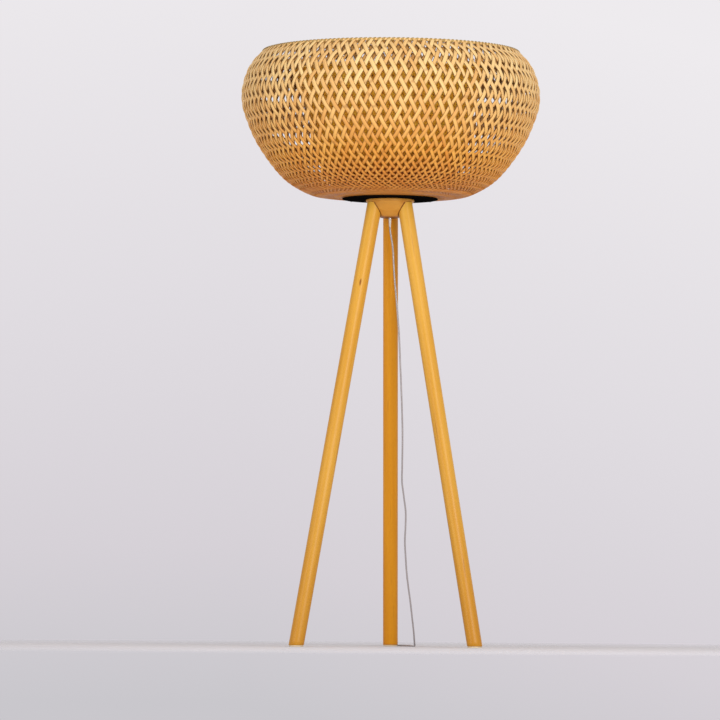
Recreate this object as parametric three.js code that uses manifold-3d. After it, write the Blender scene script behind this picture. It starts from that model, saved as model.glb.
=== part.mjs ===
// Rattan floor lamp: a wide woven bamboo bowl, open at the top, on three round wooden poles.
// Lengths are in millimetres. +Z is up, and the front faces -Y.
// The origin is on the floor, under the middle of the shade.
import * as THREE from 'three';
import { mergeVertices } from 'three/addons/utils/BufferGeometryUtils.js';
import Module from 'manifold-3d';

// Stand
const stand_height = 1252;
const pole_diameter = 42;
const pole_sides = 16;
const foot_circle_radius = 286;
const pole_circle_radius_at_top = 46;
const foot_pad_thickness = 4;
const foot_pad_inset = 2;
const front_pole_angle = Math.PI / 6;

// Hub, the turned block that the poles are screwed to
const hub_flange_radius = 67.5;
const hub_flange_thickness = 8;
const hub_bowl_radius = 64;
const hub_bottom_radius = 21;
const hub_depth = 52;
const hub_edge_round = 2;
const hub_sides = 28;
// How far out, of the bowl's reach, and how far up, of its depth
const hub_bowl_shares = [[0.26, 0.08], [0.52, 0.27], [0.76, 0.52], [0.93, 0.80]];
const stud_diameter = 8;
const stud_length_in_pole = 22;
const stud_length_in_hub = 8;
const seat_gap = 0.3;

// Base plate
const plate_radius = 134;
const plate_thickness = 3;
const plate_sides = 40;

// Woven shade, measured from the plate's top face
const shade_height = 415;
const shade_radius = 417;
const rim_radius = 357;
const rim_hoop_section_radius = 5;
const base_hoop_radius = 128;
const base_hoop_section_radius = 4;
// Distance out from the base hoop, of the shade's reach, and height, of the shade's height
const shade_outline_shares = [
  [0.20, 0.006], [0.37, 0.033], [0.61, 0.145], [0.845, 0.366], [0.975, 0.58], [1, 0.69],
  [0.985, 0.785], [0.934, 0.885], [0.868, 0.951],
];
const strips_each_way = 22;
const strip_width = 10;
const strip_thickness = 1.5;
const level_radius = 237;
const steepest_strip_angle = (52 / 180) * Math.PI;
const closed_base_radius = 238;
const selvedge_width = 7;
// Rings of the closed border round the base, from the open weave's edge to the base hoop
const base_border_shares = [0.34, 0.67, 1];

// Inner shade, a narrower bucket of close weave round the bulb
const inner_shade_height = 360;
const inner_shade_mouth_radius = 265;
const inner_hoop_radius = 112;
const inner_hoop_section_radius = 4;
const inner_wall_thickness = 2.4;
const inner_shade_steps = 8;
// Distance out from the inner hoop, of the mouth's reach, and height, of the inner shade's height
const inner_outline_shares = [
  [0.05, 0.04], [0.25, 0.066], [0.43, 0.125], [0.535, 0.24], [0.655, 0.41], [0.81, 0.71],
];
const hoop_section_sides = 6;
const hoop_sides = 2 * strips_each_way;
const inner_hoop_sides = 32;

// Screws
const wood_screw = { diameter: 4, head_diameter: 8, head_height: 2, length: 24, circle_radius: 42 };
const hoop_screw = { diameter: 3, head_diameter: 6, head_height: 1.6, length: 8.5 };
const screw_sides = 6;
const screw_head_top_share = 0.8;
const screws_per_ring = 3;
const pilot_gap = 0.3;

// Threaded tube, washers and nuts through the middle
const tube_diameter = 10;
const tube_bore_diameter = 7;
const washer_diameter = 20;
const washer_thickness = 1.5;
const nut_across_flats = 14;
const nut_thickness = 5;
const counterbore_clearance = 1.5;
const tube_height_in_holder = 8;
const tube_stub_below_nut = 1;
const hole_clearance = 0.3;
const round_sides = 16;

// Lamp holder and bulb
const holder_diameter = 40;
const holder_wall = 2;
const holder_cap_height = 18;
const holder_shell_height = 38;
const holder_ring_diameter = 56;
const holder_ring_height = 7;
const holder_ring_drop = 12;
const insert_thickness = 8;
const thread_sleeve_diameter = 29;
const thread_sleeve_wall = 0.8;
const thread_sleeve_height = 26;
const bulb_cap_diameter = 26;
const bulb_cap_height = 27;
const bulb_cap_tip_diameter = 10;
const bulb_cap_tip_height = 4;
const bulb_diameter = 60;
const bulb_height = 78;
const bulb_steps = 8;
// How far the flank leaves the neck, and meets the globe, straight up, of the globe's radius
const bulb_flank_share = 0.5;

// Mains cord
const cord_diameter = 5;
const cord_sides = 8;
const relief_length = 22;
const relief_top_diameter = 8;
const relief_end_diameter = 5.8;
const touching_gap = 0.3;
// From the hub down to the floor, and along it to the switch behind the back pole
const cord_route = [
  [0, 0, 1176], [1.5, 0, 1160], [7.9, 1, 1122], [13.4, 3, 1038], [20.4, 6, 962],
  [26.7, 10, 880], [30, 15, 785], [32.3, 20, 690], [34.6, 26, 600], [34.3, 33, 500],
  [38.1, 39, 415], [42.4, 45, 345], [42.7, 51, 270], [47, 57, 195], [53.8, 64, 125],
  [60.4, 73, 65], [65, 86, 25], [67.2, 112, 5.4], [66.5, 142, 2.7], [63, 176, 2.6],
  [55, 212, 2.6], [44.5, 247, 2.6], [32, 284, 2.6], [18, 315, 2.9], [6, 336, 5.2],
  [1.2, 351, 8.2], [0.5, 362, 9], [0.5, 370, 9],
];
const cord_steps = 64;

// Switch on the cord
const switch_length = 62;
const switch_width = 26;
const switch_end_width = 12;
const switch_lower_height = 9;
const switch_upper_height = 9;
const switch_taper = 12.4;
const switch_wall = 3;
const rocker_length = 20;
const rocker_width = 12;
const rocker_gap = 0.7;
const rocker_pivot_height = 13;
const rocker_crown = 6;
const rocker_depth = 5;
const rocker_end_slope = 1.2;
const rocker_tilt = (8 / 180) * Math.PI;
const rocker_arc_steps = 6;
const moulding_curve_steps = 4;
const switch_screw = { diameter: 2.6, head_diameter: 4.4, head_height: 1.4, length: 9 };
const switch_screw_inset = 9;

// Hank of put-away cord, and its tie
const hank_loops = 4;
const hank_steps_per_loop = 24;
const hank_cord_sides = 6;
const hank_length = 95;
const hank_fold_radius = 15;
const hank_spiral_step = 1;
const hank_layer_step = 5.7;
const hank_waist_draw = 6;
const hank_lift = 1.3;
const hank_start_gap = 38;
// Centre line from the switch into the hank, measured from the switch's end, down to the lowest loop
const hank_lead_in = [
  [0, 0, 9], [0, 5, 9], [-3, 13, 8.1], [-9, 22, 6.0], [-13.5, 31, 4.3], [-15.6, 41, 3.8],
];
// Centre line out of the hank's last fold into the plug, measured from the hank's middle
const hank_tail = [
  [-14.4, -23, 27.9], [-10.2, -13, 29.7], [-4.8, -3, 30.9], [0, 7, 31.2], [0, 11.7, 31.2],
];
const hank_gap_samples = 1200;
const tie_width = 10;
const tie_thickness = 1;
const tie_gap = 0.5;

// Plug lying on the hank
const plug_length = 34;
const plug_width = 24;
const plug_rear_width = 15;
const plug_height = 15;
const plug_face_width = 22;
const plug_taper = 11.4;
const plug_start = 12;
const blade_width = 6.3;
const blade_thickness = 1.5;
const blade_length = 17;
const blade_root = 7;
const blade_spacing = 12.7;

const bamboo_colour = 0xc8934b;
const inner_bamboo_colour = 0xc58330;
const pole_colour = 0xd9a650;
const steel_colour = 0xb8bcc0;
const black_colour = 0x1b1a19;
const clear_cord_colour = 0xd8d5d0;
const white_plastic_colour = 0xe9e6e0;
const brass_colour = 0xc9a24e;
const rubber_colour = 0xcfc3ae;
const glass_colour = 0xfff4dc;

const wasm = await Module();
wasm.setup();

const lamp = new THREE.Group();

const bamboo = { color: bamboo_colour, roughness: 0.55, metalness: 0 };
const inner_bamboo = { color: inner_bamboo_colour, roughness: 0.6, metalness: 0 };
const pole_wood = { color: pole_colour, roughness: 0.45, metalness: 0 };
const steel = { color: steel_colour, roughness: 0.35, metalness: 1 };
const brass = { color: brass_colour, roughness: 0.3, metalness: 1 };
const black_paint = { color: black_colour, roughness: 0.5, metalness: 0.1 };
const clear_cord = { color: clear_cord_colour, roughness: 0.3, metalness: 0 };
const white_plastic = { color: white_plastic_colour, roughness: 0.4, metalness: 0 };
const pale_rubber = { color: rubber_colour, roughness: 0.8, metalness: 0 };
const frosted_glass = { color: glass_colour, roughness: 0.2, metalness: 0 };

// A closed geometry with shared corners, no collapsed triangles, and its faces pointing out
function closed(geometry) {
  const bare = geometry.clone();
  bare.deleteAttribute('normal');
  bare.deleteAttribute('uv');
  const merged = mergeVertices(bare);
  const corners = merged.index.array;
  const kept = [];
  for (let i = 0; i < corners.length; i += 3) {
    const [a, b, c] = [corners[i], corners[i + 1], corners[i + 2]];
    if (a !== b && b !== c && c !== a) kept.push(a, b, c);
  }
  const position = merged.attributes.position;
  const [p, q, r] = [new THREE.Vector3(), new THREE.Vector3(), new THREE.Vector3()];
  let volume = 0;
  for (let i = 0; i < kept.length; i += 3) {
    p.fromBufferAttribute(position, kept[i]);
    q.fromBufferAttribute(position, kept[i + 1]);
    r.fromBufferAttribute(position, kept[i + 2]);
    volume += p.dot(q.cross(r));
  }
  if (volume < 0) kept.reverse();
  merged.setIndex(kept);
  merged.computeVertexNormals();
  return merged;
}

function solid_of(geometry) {
  const body = closed(geometry);
  const vertProperties = new Float32Array(body.attributes.position.array);
  const triVerts = new Uint32Array(body.index.array);
  return new wasm.Manifold(new wasm.Mesh({ numProp: 3, vertProperties, triVerts }));
}

function geometry_of(solid) {
  const mesh = solid.getMesh();
  const geometry = new THREE.BufferGeometry();
  geometry.setAttribute('position', new THREE.BufferAttribute(mesh.vertProperties, 3));
  geometry.setIndex(new THREE.BufferAttribute(mesh.triVerts, 1));
  return closed(geometry);
}

function cut(geometry, ...cutters) {
  const solid = cutters.reduce((left, cutter) => left.subtract(solid_of(cutter)), solid_of(geometry));
  return geometry_of(solid);
}

function add_piece(name, geometry, material, parent = lamp) {
  const mesh = new THREE.Mesh(closed(geometry), new THREE.MeshStandardMaterial(material));
  mesh.name = name;
  parent.add(mesh);
  return mesh;
}

// A round bar or hole between two heights, standing on the Z axis or at x, y
function post(diameter, low, high, sides = round_sides, x = 0, y = 0) {
  const bar = new THREE.CylinderGeometry(diameter / 2, diameter / 2, high - low, sides);
  return bar.rotateX(Math.PI / 2).translate(x, y, (low + high) / 2);
}

// A solid of revolution round Z from [radius, height] points
function turned(points, sides = round_sides, start_angle = 0) {
  const outline = points.map(([radius, height]) => new THREE.Vector2(radius, height));
  return new THREE.LatheGeometry(outline, sides, start_angle).rotateX(Math.PI / 2);
}

function tube_ring(outer_diameter, inner_diameter, low, high, sides = round_sides) {
  const [outer, inner] = [outer_diameter / 2, inner_diameter / 2];
  return turned([[inner, low], [outer, low], [outer, high], [inner, high], [inner, low]], sides);
}

// From the middle of a hoop's section, which is flat above and below, to its corners
function corner_reach(section_radius) {
  return section_radius / Math.cos(Math.PI / hoop_section_sides);
}

function hoop(radius, section_radius, height, sides) {
  const points = [];
  for (let i = 0; i <= hoop_section_sides; i += 1) {
    const turn = (i % hoop_section_sides) * ((2 * Math.PI) / hoop_section_sides);
    const reach = corner_reach(section_radius);
    points.push([radius + reach * Math.cos(turn), height + reach * Math.sin(turn)]);
  }
  return turned(points, sides, Math.PI / sides);
}

// Heights that the pieces share
const plate_bottom = stand_height;
const plate_top = plate_bottom + plate_thickness;
const rim_top = plate_top + shade_height;
const hub_bottom = stand_height - hub_depth;

// Poles: each is laid out in its own radial plane, with its foot at +X, and then turned round Z
const pole_radius = pole_diameter / 2;
const lean = Math.atan((foot_circle_radius - pole_circle_radius_at_top) / stand_height);
const socket_height = stand_height - hub_flange_thickness - pole_radius * Math.sin(lean);
const pole_angles = {
  leg_front_right: -front_pole_angle,
  leg_back: Math.PI / 2,
  leg_front_left: Math.PI + front_pole_angle,
};

// Moves a shape that stands on Z at zero onto a pole's axis, with its zero at a height on that axis
function along_pole(geometry, height) {
  const out = foot_circle_radius - height * Math.tan(lean);
  return geometry.rotateY(-lean).translate(out, 0, height);
}

function pole_geometry() {
  const length = socket_height / Math.cos(lean);
  const overrun = pole_diameter;
  const bar = along_pole(post(pole_diameter, -length - overrun, -seat_gap, pole_sides), socket_height);
  const floor_side = 2 * foot_circle_radius;
  const below = new THREE.BoxGeometry(floor_side, floor_side, floor_side);
  below.translate(foot_circle_radius, 0, foot_pad_thickness - floor_side / 2);
  const bore_diameter = stud_diameter + 2 * seat_gap;
  const bore = post(bore_diameter, -stud_length_in_pole - seat_gap, stud_length_in_hub, round_sides / 2);
  return cut(bar, below, along_pole(bore, socket_height));
}

function add_poles() {
  for (const [name, angle] of Object.entries(pole_angles)) {
    const place = new THREE.Group();
    place.rotation.z = angle;
    lamp.add(place);
    add_piece(name, pole_geometry(), pole_wood, place);
    const where = name.replace('leg_', '');
    const stud = post(stud_diameter, -stud_length_in_pole, stud_length_in_hub, round_sides / 2);
    add_piece(`leg_stud_${where}`, along_pole(stud, socket_height), steel, place);
    const pad_x = foot_circle_radius - foot_pad_thickness * Math.tan(lean);
    const pad_diameter = pole_diameter - foot_pad_inset;
    const pad = post(pad_diameter, 0, foot_pad_thickness, round_sides, pad_x, 0);
    add_piece(`foot_pad_${where}`, pad, pale_rubber, place);
  }
}

// Screws stand on a ring, turned from the first pole by a share of the gap between poles
function ring_places(radius, turn_share) {
  const places = [];
  for (let i = 0; i < screws_per_ring; i += 1) {
    const angle = Math.PI / 2 + ((i + turn_share) * 2 * Math.PI) / screws_per_ring;
    places.push([radius * Math.cos(angle), radius * Math.sin(angle)]);
  }
  return places;
}

const wood_screw_places = ring_places(wood_screw.circle_radius, 1 / 2);
const base_hoop_screw_places = ring_places(base_hoop_radius, 1 / 2);
const inner_hoop_screw_places = ring_places(inner_hoop_radius, 0);

// A screw with its head seat at a height; up is 1 when the head is on top, and -1 when it hangs below
function screw(size, seat, up, x, y) {
  const [head, shank] = [size.head_diameter / 2, size.diameter / 2];
  const top = seat + up * size.head_height;
  const outline = [
    [0, seat - up * size.length], [shank, seat - up * size.length], [shank, seat],
    [head, seat], [head * screw_head_top_share, top], [0, top],
  ];
  return turned(outline, screw_sides).translate(x, y, 0);
}

function pilot(size, seat, up, x, y) {
  const end = seat - up * (size.length + pilot_gap);
  const start = seat + up * size.head_height;
  return post(size.diameter + 2 * pilot_gap, Math.min(start, end), Math.max(start, end), screw_sides, x, y);
}

function add_screws() {
  wood_screw_places.forEach(([x, y], i) => {
    add_piece(`plate_screw_${i + 1}`, screw(wood_screw, plate_top, 1, x, y), steel);
  });
  base_hoop_screw_places.forEach(([x, y], i) => {
    add_piece(`hoop_screw_${i + 1}`, screw(hoop_screw, plate_bottom, -1, x, y), black_paint);
  });
  inner_hoop_screw_places.forEach(([x, y], i) => {
    add_piece(`inner_hoop_screw_${i + 1}`, screw(hoop_screw, plate_bottom, -1, x, y), black_paint);
  });
}

function hub_geometry() {
  const bore = tube_diameter / 2 + hole_clearance;
  const bowl_top = stand_height - hub_flange_thickness;
  const reach = hub_bowl_radius - hub_bottom_radius;
  const bowl = hub_bowl_shares.map(([out, up]) => [
    hub_bottom_radius + out * reach, hub_bottom + up * (bowl_top - hub_bottom),
  ]);
  const recess_radius = washer_diameter / 2 + counterbore_clearance;
  const recess_top = hub_bottom + washer_thickness + nut_thickness;
  const outline = [
    [bore, recess_top], [recess_radius, recess_top], [recess_radius, hub_bottom],
    [hub_bottom_radius, hub_bottom], ...bowl, [hub_bowl_radius, bowl_top],
    [hub_flange_radius, bowl_top + hub_edge_round], [hub_flange_radius, stand_height - hub_edge_round],
    [hub_flange_radius - hub_edge_round, stand_height], [bore, stand_height], [bore, recess_top],
  ];
  const cutters = [];
  const socket_diameter = pole_diameter + 2 * seat_gap;
  const stud_bore_diameter = stud_diameter + 2 * seat_gap;
  const stud_bore_top = stud_length_in_hub + seat_gap;
  for (const angle of Object.values(pole_angles)) {
    const socket = post(socket_diameter, -2 * hub_depth, 0, pole_sides);
    cutters.push(along_pole(socket, socket_height).rotateZ(angle));
    const stud_bore = post(stud_bore_diameter, -seat_gap, stud_bore_top, round_sides / 2);
    cutters.push(along_pole(stud_bore, socket_height).rotateZ(angle));
  }
  for (const [x, y] of wood_screw_places) cutters.push(pilot(wood_screw, plate_top, 1, x, y));
  return cut(turned(outline, hub_sides), ...cutters);
}

function plate_geometry() {
  const cutters = [];
  const all_places = [...base_hoop_screw_places, ...inner_hoop_screw_places];
  for (const [x, y] of wood_screw_places) cutters.push(pilot(wood_screw, plate_top, 1, x, y));
  for (const [x, y] of all_places) cutters.push(pilot(hoop_screw, plate_bottom, -1, x, y));
  const bore = tube_diameter + 2 * hole_clearance;
  const disc = tube_ring(2 * plate_radius, bore, plate_bottom, plate_top, plate_sides);
  return cut(disc, ...cutters);
}

// The shade's outline in [radius, height], from the middle of the base hoop to the middle of the rim hoop
function shade_outline() {
  const start = new THREE.Vector2(base_hoop_radius, plate_top + base_hoop_section_radius);
  const end = new THREE.Vector2(rim_radius, rim_top - rim_hoop_section_radius);
  const reach = shade_radius - strip_thickness - base_hoop_radius;
  const middle = shade_outline_shares.map(([out, up]) => (
    new THREE.Vector2(base_hoop_radius + out * reach, start.y + up * (end.y - start.y))
  ));
  return new THREE.SplineCurve([start, ...middle, end]);
}

// A strip laid straight over a round body keeps radius times the sine of its angle constant,
// so it stands steepest at the belly and leans over towards the base and the rim
function strip_angle(radius) {
  return Math.min(Math.asin(Math.min(level_radius / radius, 1)), steepest_strip_angle);
}

// Distances along the outline at which strips cross, each row half a gap round from the last
function crossing_rows(outline, first, last) {
  const rows = [first];
  const length = outline.getLength();
  while (rows[rows.length - 1] < last) {
    const radius = outline.getPointAt(Math.min(rows[rows.length - 1] / length, 1)).x;
    const half_gap = (Math.PI * radius) / strips_each_way;
    rows.push(rows[rows.length - 1] + half_gap / Math.tan(strip_angle(radius)));
  }
  const stretch = (last - first) / (rows[rows.length - 1] - first);
  return rows.map((row) => first + (row - first) * stretch);
}

// Open basket weave in one piece. Two sets of strips cross over and under in turn, fused where they touch.
// Each crossing is a lozenge with an outer, a middle and an inner layer of corners.
function woven_shade_geometry() {
  const outline = shade_outline();
  const length = outline.getLength();
  const positions = [];
  const faces = [];
  const corner = (distance, angle, layer) => {
    const share = Math.min(Math.max(distance / length, 0), 1);
    const point = outline.getPointAt(share);
    const along = outline.getTangentAt(share);
    const radius = point.x + along.y * layer * strip_thickness;
    const height = point.y - along.x * layer * strip_thickness;
    positions.push(radius * Math.cos(angle), radius * Math.sin(angle), height);
    return positions.length / 3 - 1;
  };
  const quad = (a, b, c, d) => faces.push(a, b, c, a, c, d);
  const layers = [-1, 0, 1];
  const base_start = corner_reach(base_hoop_section_radius) + touching_gap;
  const rim_end = length - corner_reach(rim_hoop_section_radius) - touching_gap;
  let first = base_start;
  while (outline.getPointAt(first / length).x < closed_base_radius) first += strip_thickness;
  const last = rim_end - selvedge_width;
  const rows = crossing_rows(outline, first, last);
  const gap_angle = (2 * Math.PI) / strips_each_way;

  const pads = rows.map((distance, row) => {
    const radius = outline.getPointAt(distance / length).x;
    const angle = strip_angle(radius);
    const half_tall = strip_width / 2 / Math.sin(angle);
    const half_wide = strip_width / 2 / Math.cos(angle) / radius;
    return Array.from({ length: strips_each_way }, (_, k) => {
      const middle = (k + (row % 2) / 2) * gap_angle;
      const pad = {
        left: layers.map((layer) => corner(distance, middle - half_wide, layer)),
        right: layers.map((layer) => corner(distance, middle + half_wide, layer)),
      };
      if (row > 0) pad.down = layers.map((layer) => corner(distance - half_tall, middle, layer));
      if (row < rows.length - 1) {
        pad.up = layers.map((layer) => corner(distance + half_tall, middle, layer));
      }
      return pad;
    });
  });

  const [inside, between, outside] = [0, 1, 2];
  const count = strips_each_way;
  pads.forEach((row_pads, row) => {
    const rising_over = row % 2 === 0;
    const [low_rise, high_rise] = rising_over ? [between, outside] : [inside, between];
    const [low_fall, high_fall] = rising_over ? [inside, between] : [between, outside];
    row_pads.forEach(({ left, right, up, down }, k) => {
      if (up && down) {
        quad(down[outside], right[outside], up[outside], left[outside]);
        quad(left[inside], up[inside], right[inside], down[inside]);
      } else if (down) {
        faces.push(down[outside], right[outside], left[outside]);
        faces.push(left[inside], right[inside], down[inside]);
      } else {
        faces.push(left[outside], right[outside], up[outside]);
        faces.push(up[inside], right[inside], left[inside]);
      }
      if (up) {
        quad(up[low_fall], up[high_fall], right[high_fall], right[low_fall]);
        quad(left[low_rise], left[high_rise], up[high_rise], up[low_rise]);
        const next = pads[row + 1];
        const to_right = next[(k + (row % 2)) % count];
        const to_left = next[(k + (row % 2) + count - 1) % count];
        quad(up[high_rise], right[high_rise], to_right.down[high_fall], to_right.left[high_fall]);
        quad(right[low_rise], up[low_rise], to_right.left[low_fall], to_right.down[low_fall]);
        quad(up[low_rise], up[high_rise], to_right.left[high_fall], to_right.left[low_fall]);
        quad(right[high_rise], right[low_rise], to_right.down[low_fall], to_right.down[high_fall]);
        quad(left[high_fall], up[high_fall], to_left.right[high_rise], to_left.down[high_rise]);
        quad(up[low_fall], left[low_fall], to_left.down[low_rise], to_left.right[low_rise]);
        quad(up[high_fall], up[low_fall], to_left.right[low_rise], to_left.right[high_rise]);
        quad(left[low_fall], left[high_fall], to_left.down[high_rise], to_left.down[low_rise]);
      }
      if (down) {
        quad(down[low_fall], down[high_fall], left[high_fall], left[low_fall]);
        quad(right[low_rise], right[high_rise], down[high_rise], down[low_rise]);
      }
    });
  });

  // Closed borders: the dense weave round the base, and the selvedge under the rim
  const border = (row, stops, upward) => {
    let near = pads[row].flatMap(({ left, right }) => [left, right]);
    const around = near.length;
    for (let i = 1; i < around; i += 2) {
      const [a, b] = [near[i], near[(i + 1) % around]];
      for (const layer of [inside, between]) {
        if (upward) quad(a[layer], b[layer], b[layer + 1], a[layer + 1]);
        else quad(b[layer], a[layer], a[layer + 1], b[layer + 1]);
      }
    }
    stops.forEach((distance) => {
      const far = near.map((_, i) => {
        const angle = ((i - 1 / 2) / 2 + (row % 2) / 2) * gap_angle;
        return layers.map((layer) => corner(distance, angle, layer));
      });
      near.forEach((a, i) => {
        const [b, c, d] = [near[(i + 1) % around], far[(i + 1) % around], far[i]];
        if (upward) {
          quad(a[outside], b[outside], c[outside], d[outside]);
          quad(b[inside], a[inside], d[inside], c[inside]);
        } else {
          quad(b[outside], a[outside], d[outside], c[outside]);
          quad(a[inside], b[inside], c[inside], d[inside]);
        }
      });
      near = far;
    });
    near.forEach((a, i) => {
      const b = near[(i + 1) % around];
      for (const layer of [inside, between]) {
        if (upward) quad(a[layer + 1], b[layer + 1], b[layer], a[layer]);
        else quad(b[layer + 1], a[layer + 1], a[layer], b[layer]);
      }
    });
  };
  const base_stops = base_border_shares.map((share) => first + share * (base_start - first));
  border(0, base_stops, false);
  border(rows.length - 1, [rim_end], true);

  const geometry = new THREE.BufferGeometry();
  geometry.setAttribute('position', new THREE.Float32BufferAttribute(positions, 3));
  geometry.setIndex(faces);
  console.log(`weave: ${strips_each_way} strips each way, ${rows.length} rows`);
  return geometry;
}

function inner_shade_geometry() {
  const start = new THREE.Vector2(inner_hoop_radius, plate_top + inner_hoop_section_radius);
  const mouth_height = plate_top + inner_shade_height - inner_hoop_section_radius;
  const end = new THREE.Vector2(inner_shade_mouth_radius, mouth_height);
  const middle = inner_outline_shares.map(([out, up]) => (
    new THREE.Vector2(start.x + out * (end.x - start.x), start.y + up * (end.y - start.y))
  ));
  const outline = new THREE.SplineCurve([start, ...middle, end]);
  const length = outline.getLength();
  const first = (corner_reach(inner_hoop_section_radius) + touching_gap) / length;
  const wall = (side) => Array.from({ length: inner_shade_steps + 1 }, (_, i) => {
    const share = first + (1 - 2 * first) * (i / inner_shade_steps);
    const point = outline.getPointAt(share);
    const along = outline.getTangentAt(share);
    const off = (side * inner_wall_thickness) / 2;
    return [point.x + along.y * off, point.y - along.x * off];
  });
  const outer = wall(1);
  const inner = wall(-1).reverse();
  return turned([...outer, ...inner, outer[0]], inner_hoop_sides, Math.PI / inner_hoop_sides);
}

function add_shade() {
  add_piece('outer_shade', woven_shade_geometry(), bamboo);
  add_piece('inner_shade', inner_shade_geometry(), inner_bamboo);
  const rim_height = rim_top - rim_hoop_section_radius;
  add_piece('rim_hoop', hoop(rim_radius, rim_hoop_section_radius, rim_height, hoop_sides), bamboo);
  const inner_section = inner_hoop_section_radius;
  const mouth_height = plate_top + inner_shade_height - inner_section;
  const mouth_hoop = hoop(inner_shade_mouth_radius, inner_section, mouth_height, inner_hoop_sides);
  add_piece('inner_rim_hoop', mouth_hoop, inner_bamboo);
  const base_height = plate_top + base_hoop_section_radius;
  const base_hoop = hoop(base_hoop_radius, base_hoop_section_radius, base_height, hoop_sides);
  const base_pilots = base_hoop_screw_places.map(([x, y]) => pilot(hoop_screw, plate_bottom, -1, x, y));
  add_piece('base_hoop', cut(base_hoop, ...base_pilots), bamboo);
  const inner_hoop = hoop(inner_hoop_radius, inner_section, plate_top + inner_section, inner_hoop_sides);
  const inner_pilots = inner_hoop_screw_places.map(([x, y]) => pilot(hoop_screw, plate_bottom, -1, x, y));
  add_piece('inner_base_hoop', cut(inner_hoop, ...inner_pilots), inner_bamboo);
}

// Threaded tube that clamps plate and hub together and carries the lamp holder
const washer_seat_low = hub_bottom + washer_thickness + nut_thickness;
const holder_bottom = plate_top + washer_thickness + nut_thickness;
const tube_bottom = hub_bottom - tube_stub_below_nut;

function hexagon(across_flats, bore_diameter, low, high) {
  const nut = post(across_flats / Math.cos(Math.PI / 6), low, high, 6);
  return cut(nut, post(bore_diameter, low - nut_thickness, high + nut_thickness));
}

function add_centre_tube() {
  const bore = tube_diameter + 2 * hole_clearance;
  const tube_top = holder_bottom + tube_height_in_holder;
  add_piece('threaded_tube', tube_ring(tube_diameter, tube_bore_diameter, tube_bottom, tube_top), steel);
  const washer_low = washer_seat_low - washer_thickness;
  add_piece('washer_lower', tube_ring(washer_diameter, bore, washer_low, washer_seat_low), steel);
  add_piece('nut_lower', hexagon(nut_across_flats, bore, hub_bottom, hub_bottom + nut_thickness), steel);
  const nut_low = plate_top + washer_thickness;
  add_piece('washer_upper', tube_ring(washer_diameter, bore, plate_top, nut_low), steel);
  add_piece('nut_upper', hexagon(nut_across_flats, bore, nut_low, holder_bottom), steel);
}

const cap_top = holder_bottom + holder_cap_height;
const shell_top = cap_top + holder_shell_height;
const insert_bottom = cap_top - insert_thickness;

function add_lamp_holder() {
  const outer = holder_diameter / 2;
  const inner = outer - holder_wall;
  const hole = tube_diameter / 2 + hole_clearance;
  const floor = holder_bottom + holder_wall;
  const cap = [
    [hole, holder_bottom], [outer - holder_wall, holder_bottom], [outer, floor], [outer, cap_top],
    [inner, cap_top], [inner, floor], [hole, floor], [hole, holder_bottom],
  ];
  add_piece('holder_cap', turned(cap), white_plastic);
  add_piece('holder_shell', tube_ring(holder_diameter, 2 * inner, cap_top, shell_top), white_plastic);
  const ring_top = shell_top - holder_ring_drop;
  const ring_low = ring_top - holder_ring_height;
  const ring_bore = holder_diameter + 2 * hole_clearance;
  add_piece('holder_ring', tube_ring(holder_ring_diameter, ring_bore, ring_low, ring_top), white_plastic);
  const insert_diameter = 2 * inner - 2 * hole_clearance;
  add_piece('contact_insert', post(insert_diameter, insert_bottom, cap_top), white_plastic);
  const sleeve_bore = thread_sleeve_diameter - 2 * thread_sleeve_wall;
  const sleeve_top = cap_top + thread_sleeve_height;
  add_piece('thread_sleeve', tube_ring(thread_sleeve_diameter, sleeve_bore, cap_top, sleeve_top), brass);
}

function add_bulb() {
  const cap_radius = bulb_cap_diameter / 2;
  const tip_radius = bulb_cap_tip_diameter / 2;
  const tip = cap_top + touching_gap;
  const shoulder = tip + bulb_cap_tip_height;
  const cap_end = tip + bulb_cap_height;
  const cap = [[0, tip], [tip_radius, tip], [cap_radius, shoulder], [cap_radius, cap_end], [0, cap_end]];
  add_piece('bulb_cap', turned(cap), brass);
  const neck = new THREE.Vector2(cap_radius, cap_end);
  const radius = bulb_diameter / 2;
  const centre = cap_end + bulb_height - radius;
  const side = new THREE.Vector2(radius, centre);
  const rise = bulb_flank_share * radius;
  const flank = new THREE.CubicBezierCurve(
    neck, new THREE.Vector2(cap_radius, cap_end + rise), new THREE.Vector2(radius, centre - rise), side,
  );
  const outline = flank.getPoints(bulb_steps / 2).map(({ x, y }) => [x, y]);
  for (let i = 1; i < bulb_steps; i += 1) {
    const turn = (i / bulb_steps) * (Math.PI / 2);
    outline.push([radius * Math.cos(turn), centre + radius * Math.sin(turn)]);
  }
  add_piece('bulb_globe', turned([[0, cap_end], ...outline, [0, centre + radius]]), frosted_glass);
}

// A round cord along a curve, with flat ends
function cord_geometry(curve, steps, sides) {
  const section = new THREE.Shape();
  for (let i = 0; i < sides; i += 1) {
    const turn = ((i + 0.5) * 2 * Math.PI) / sides;
    const point = [(cord_diameter / 2) * Math.cos(turn), (cord_diameter / 2) * Math.sin(turn)];
    if (i === 0) section.moveTo(...point);
    else section.lineTo(...point);
  }
  section.closePath();
  return new THREE.ExtrudeGeometry(section, { steps, bevelEnabled: false, extrudePath: curve });
}

const relief_top = tube_bottom - touching_gap;
const relief_bottom = relief_top - relief_length;

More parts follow.
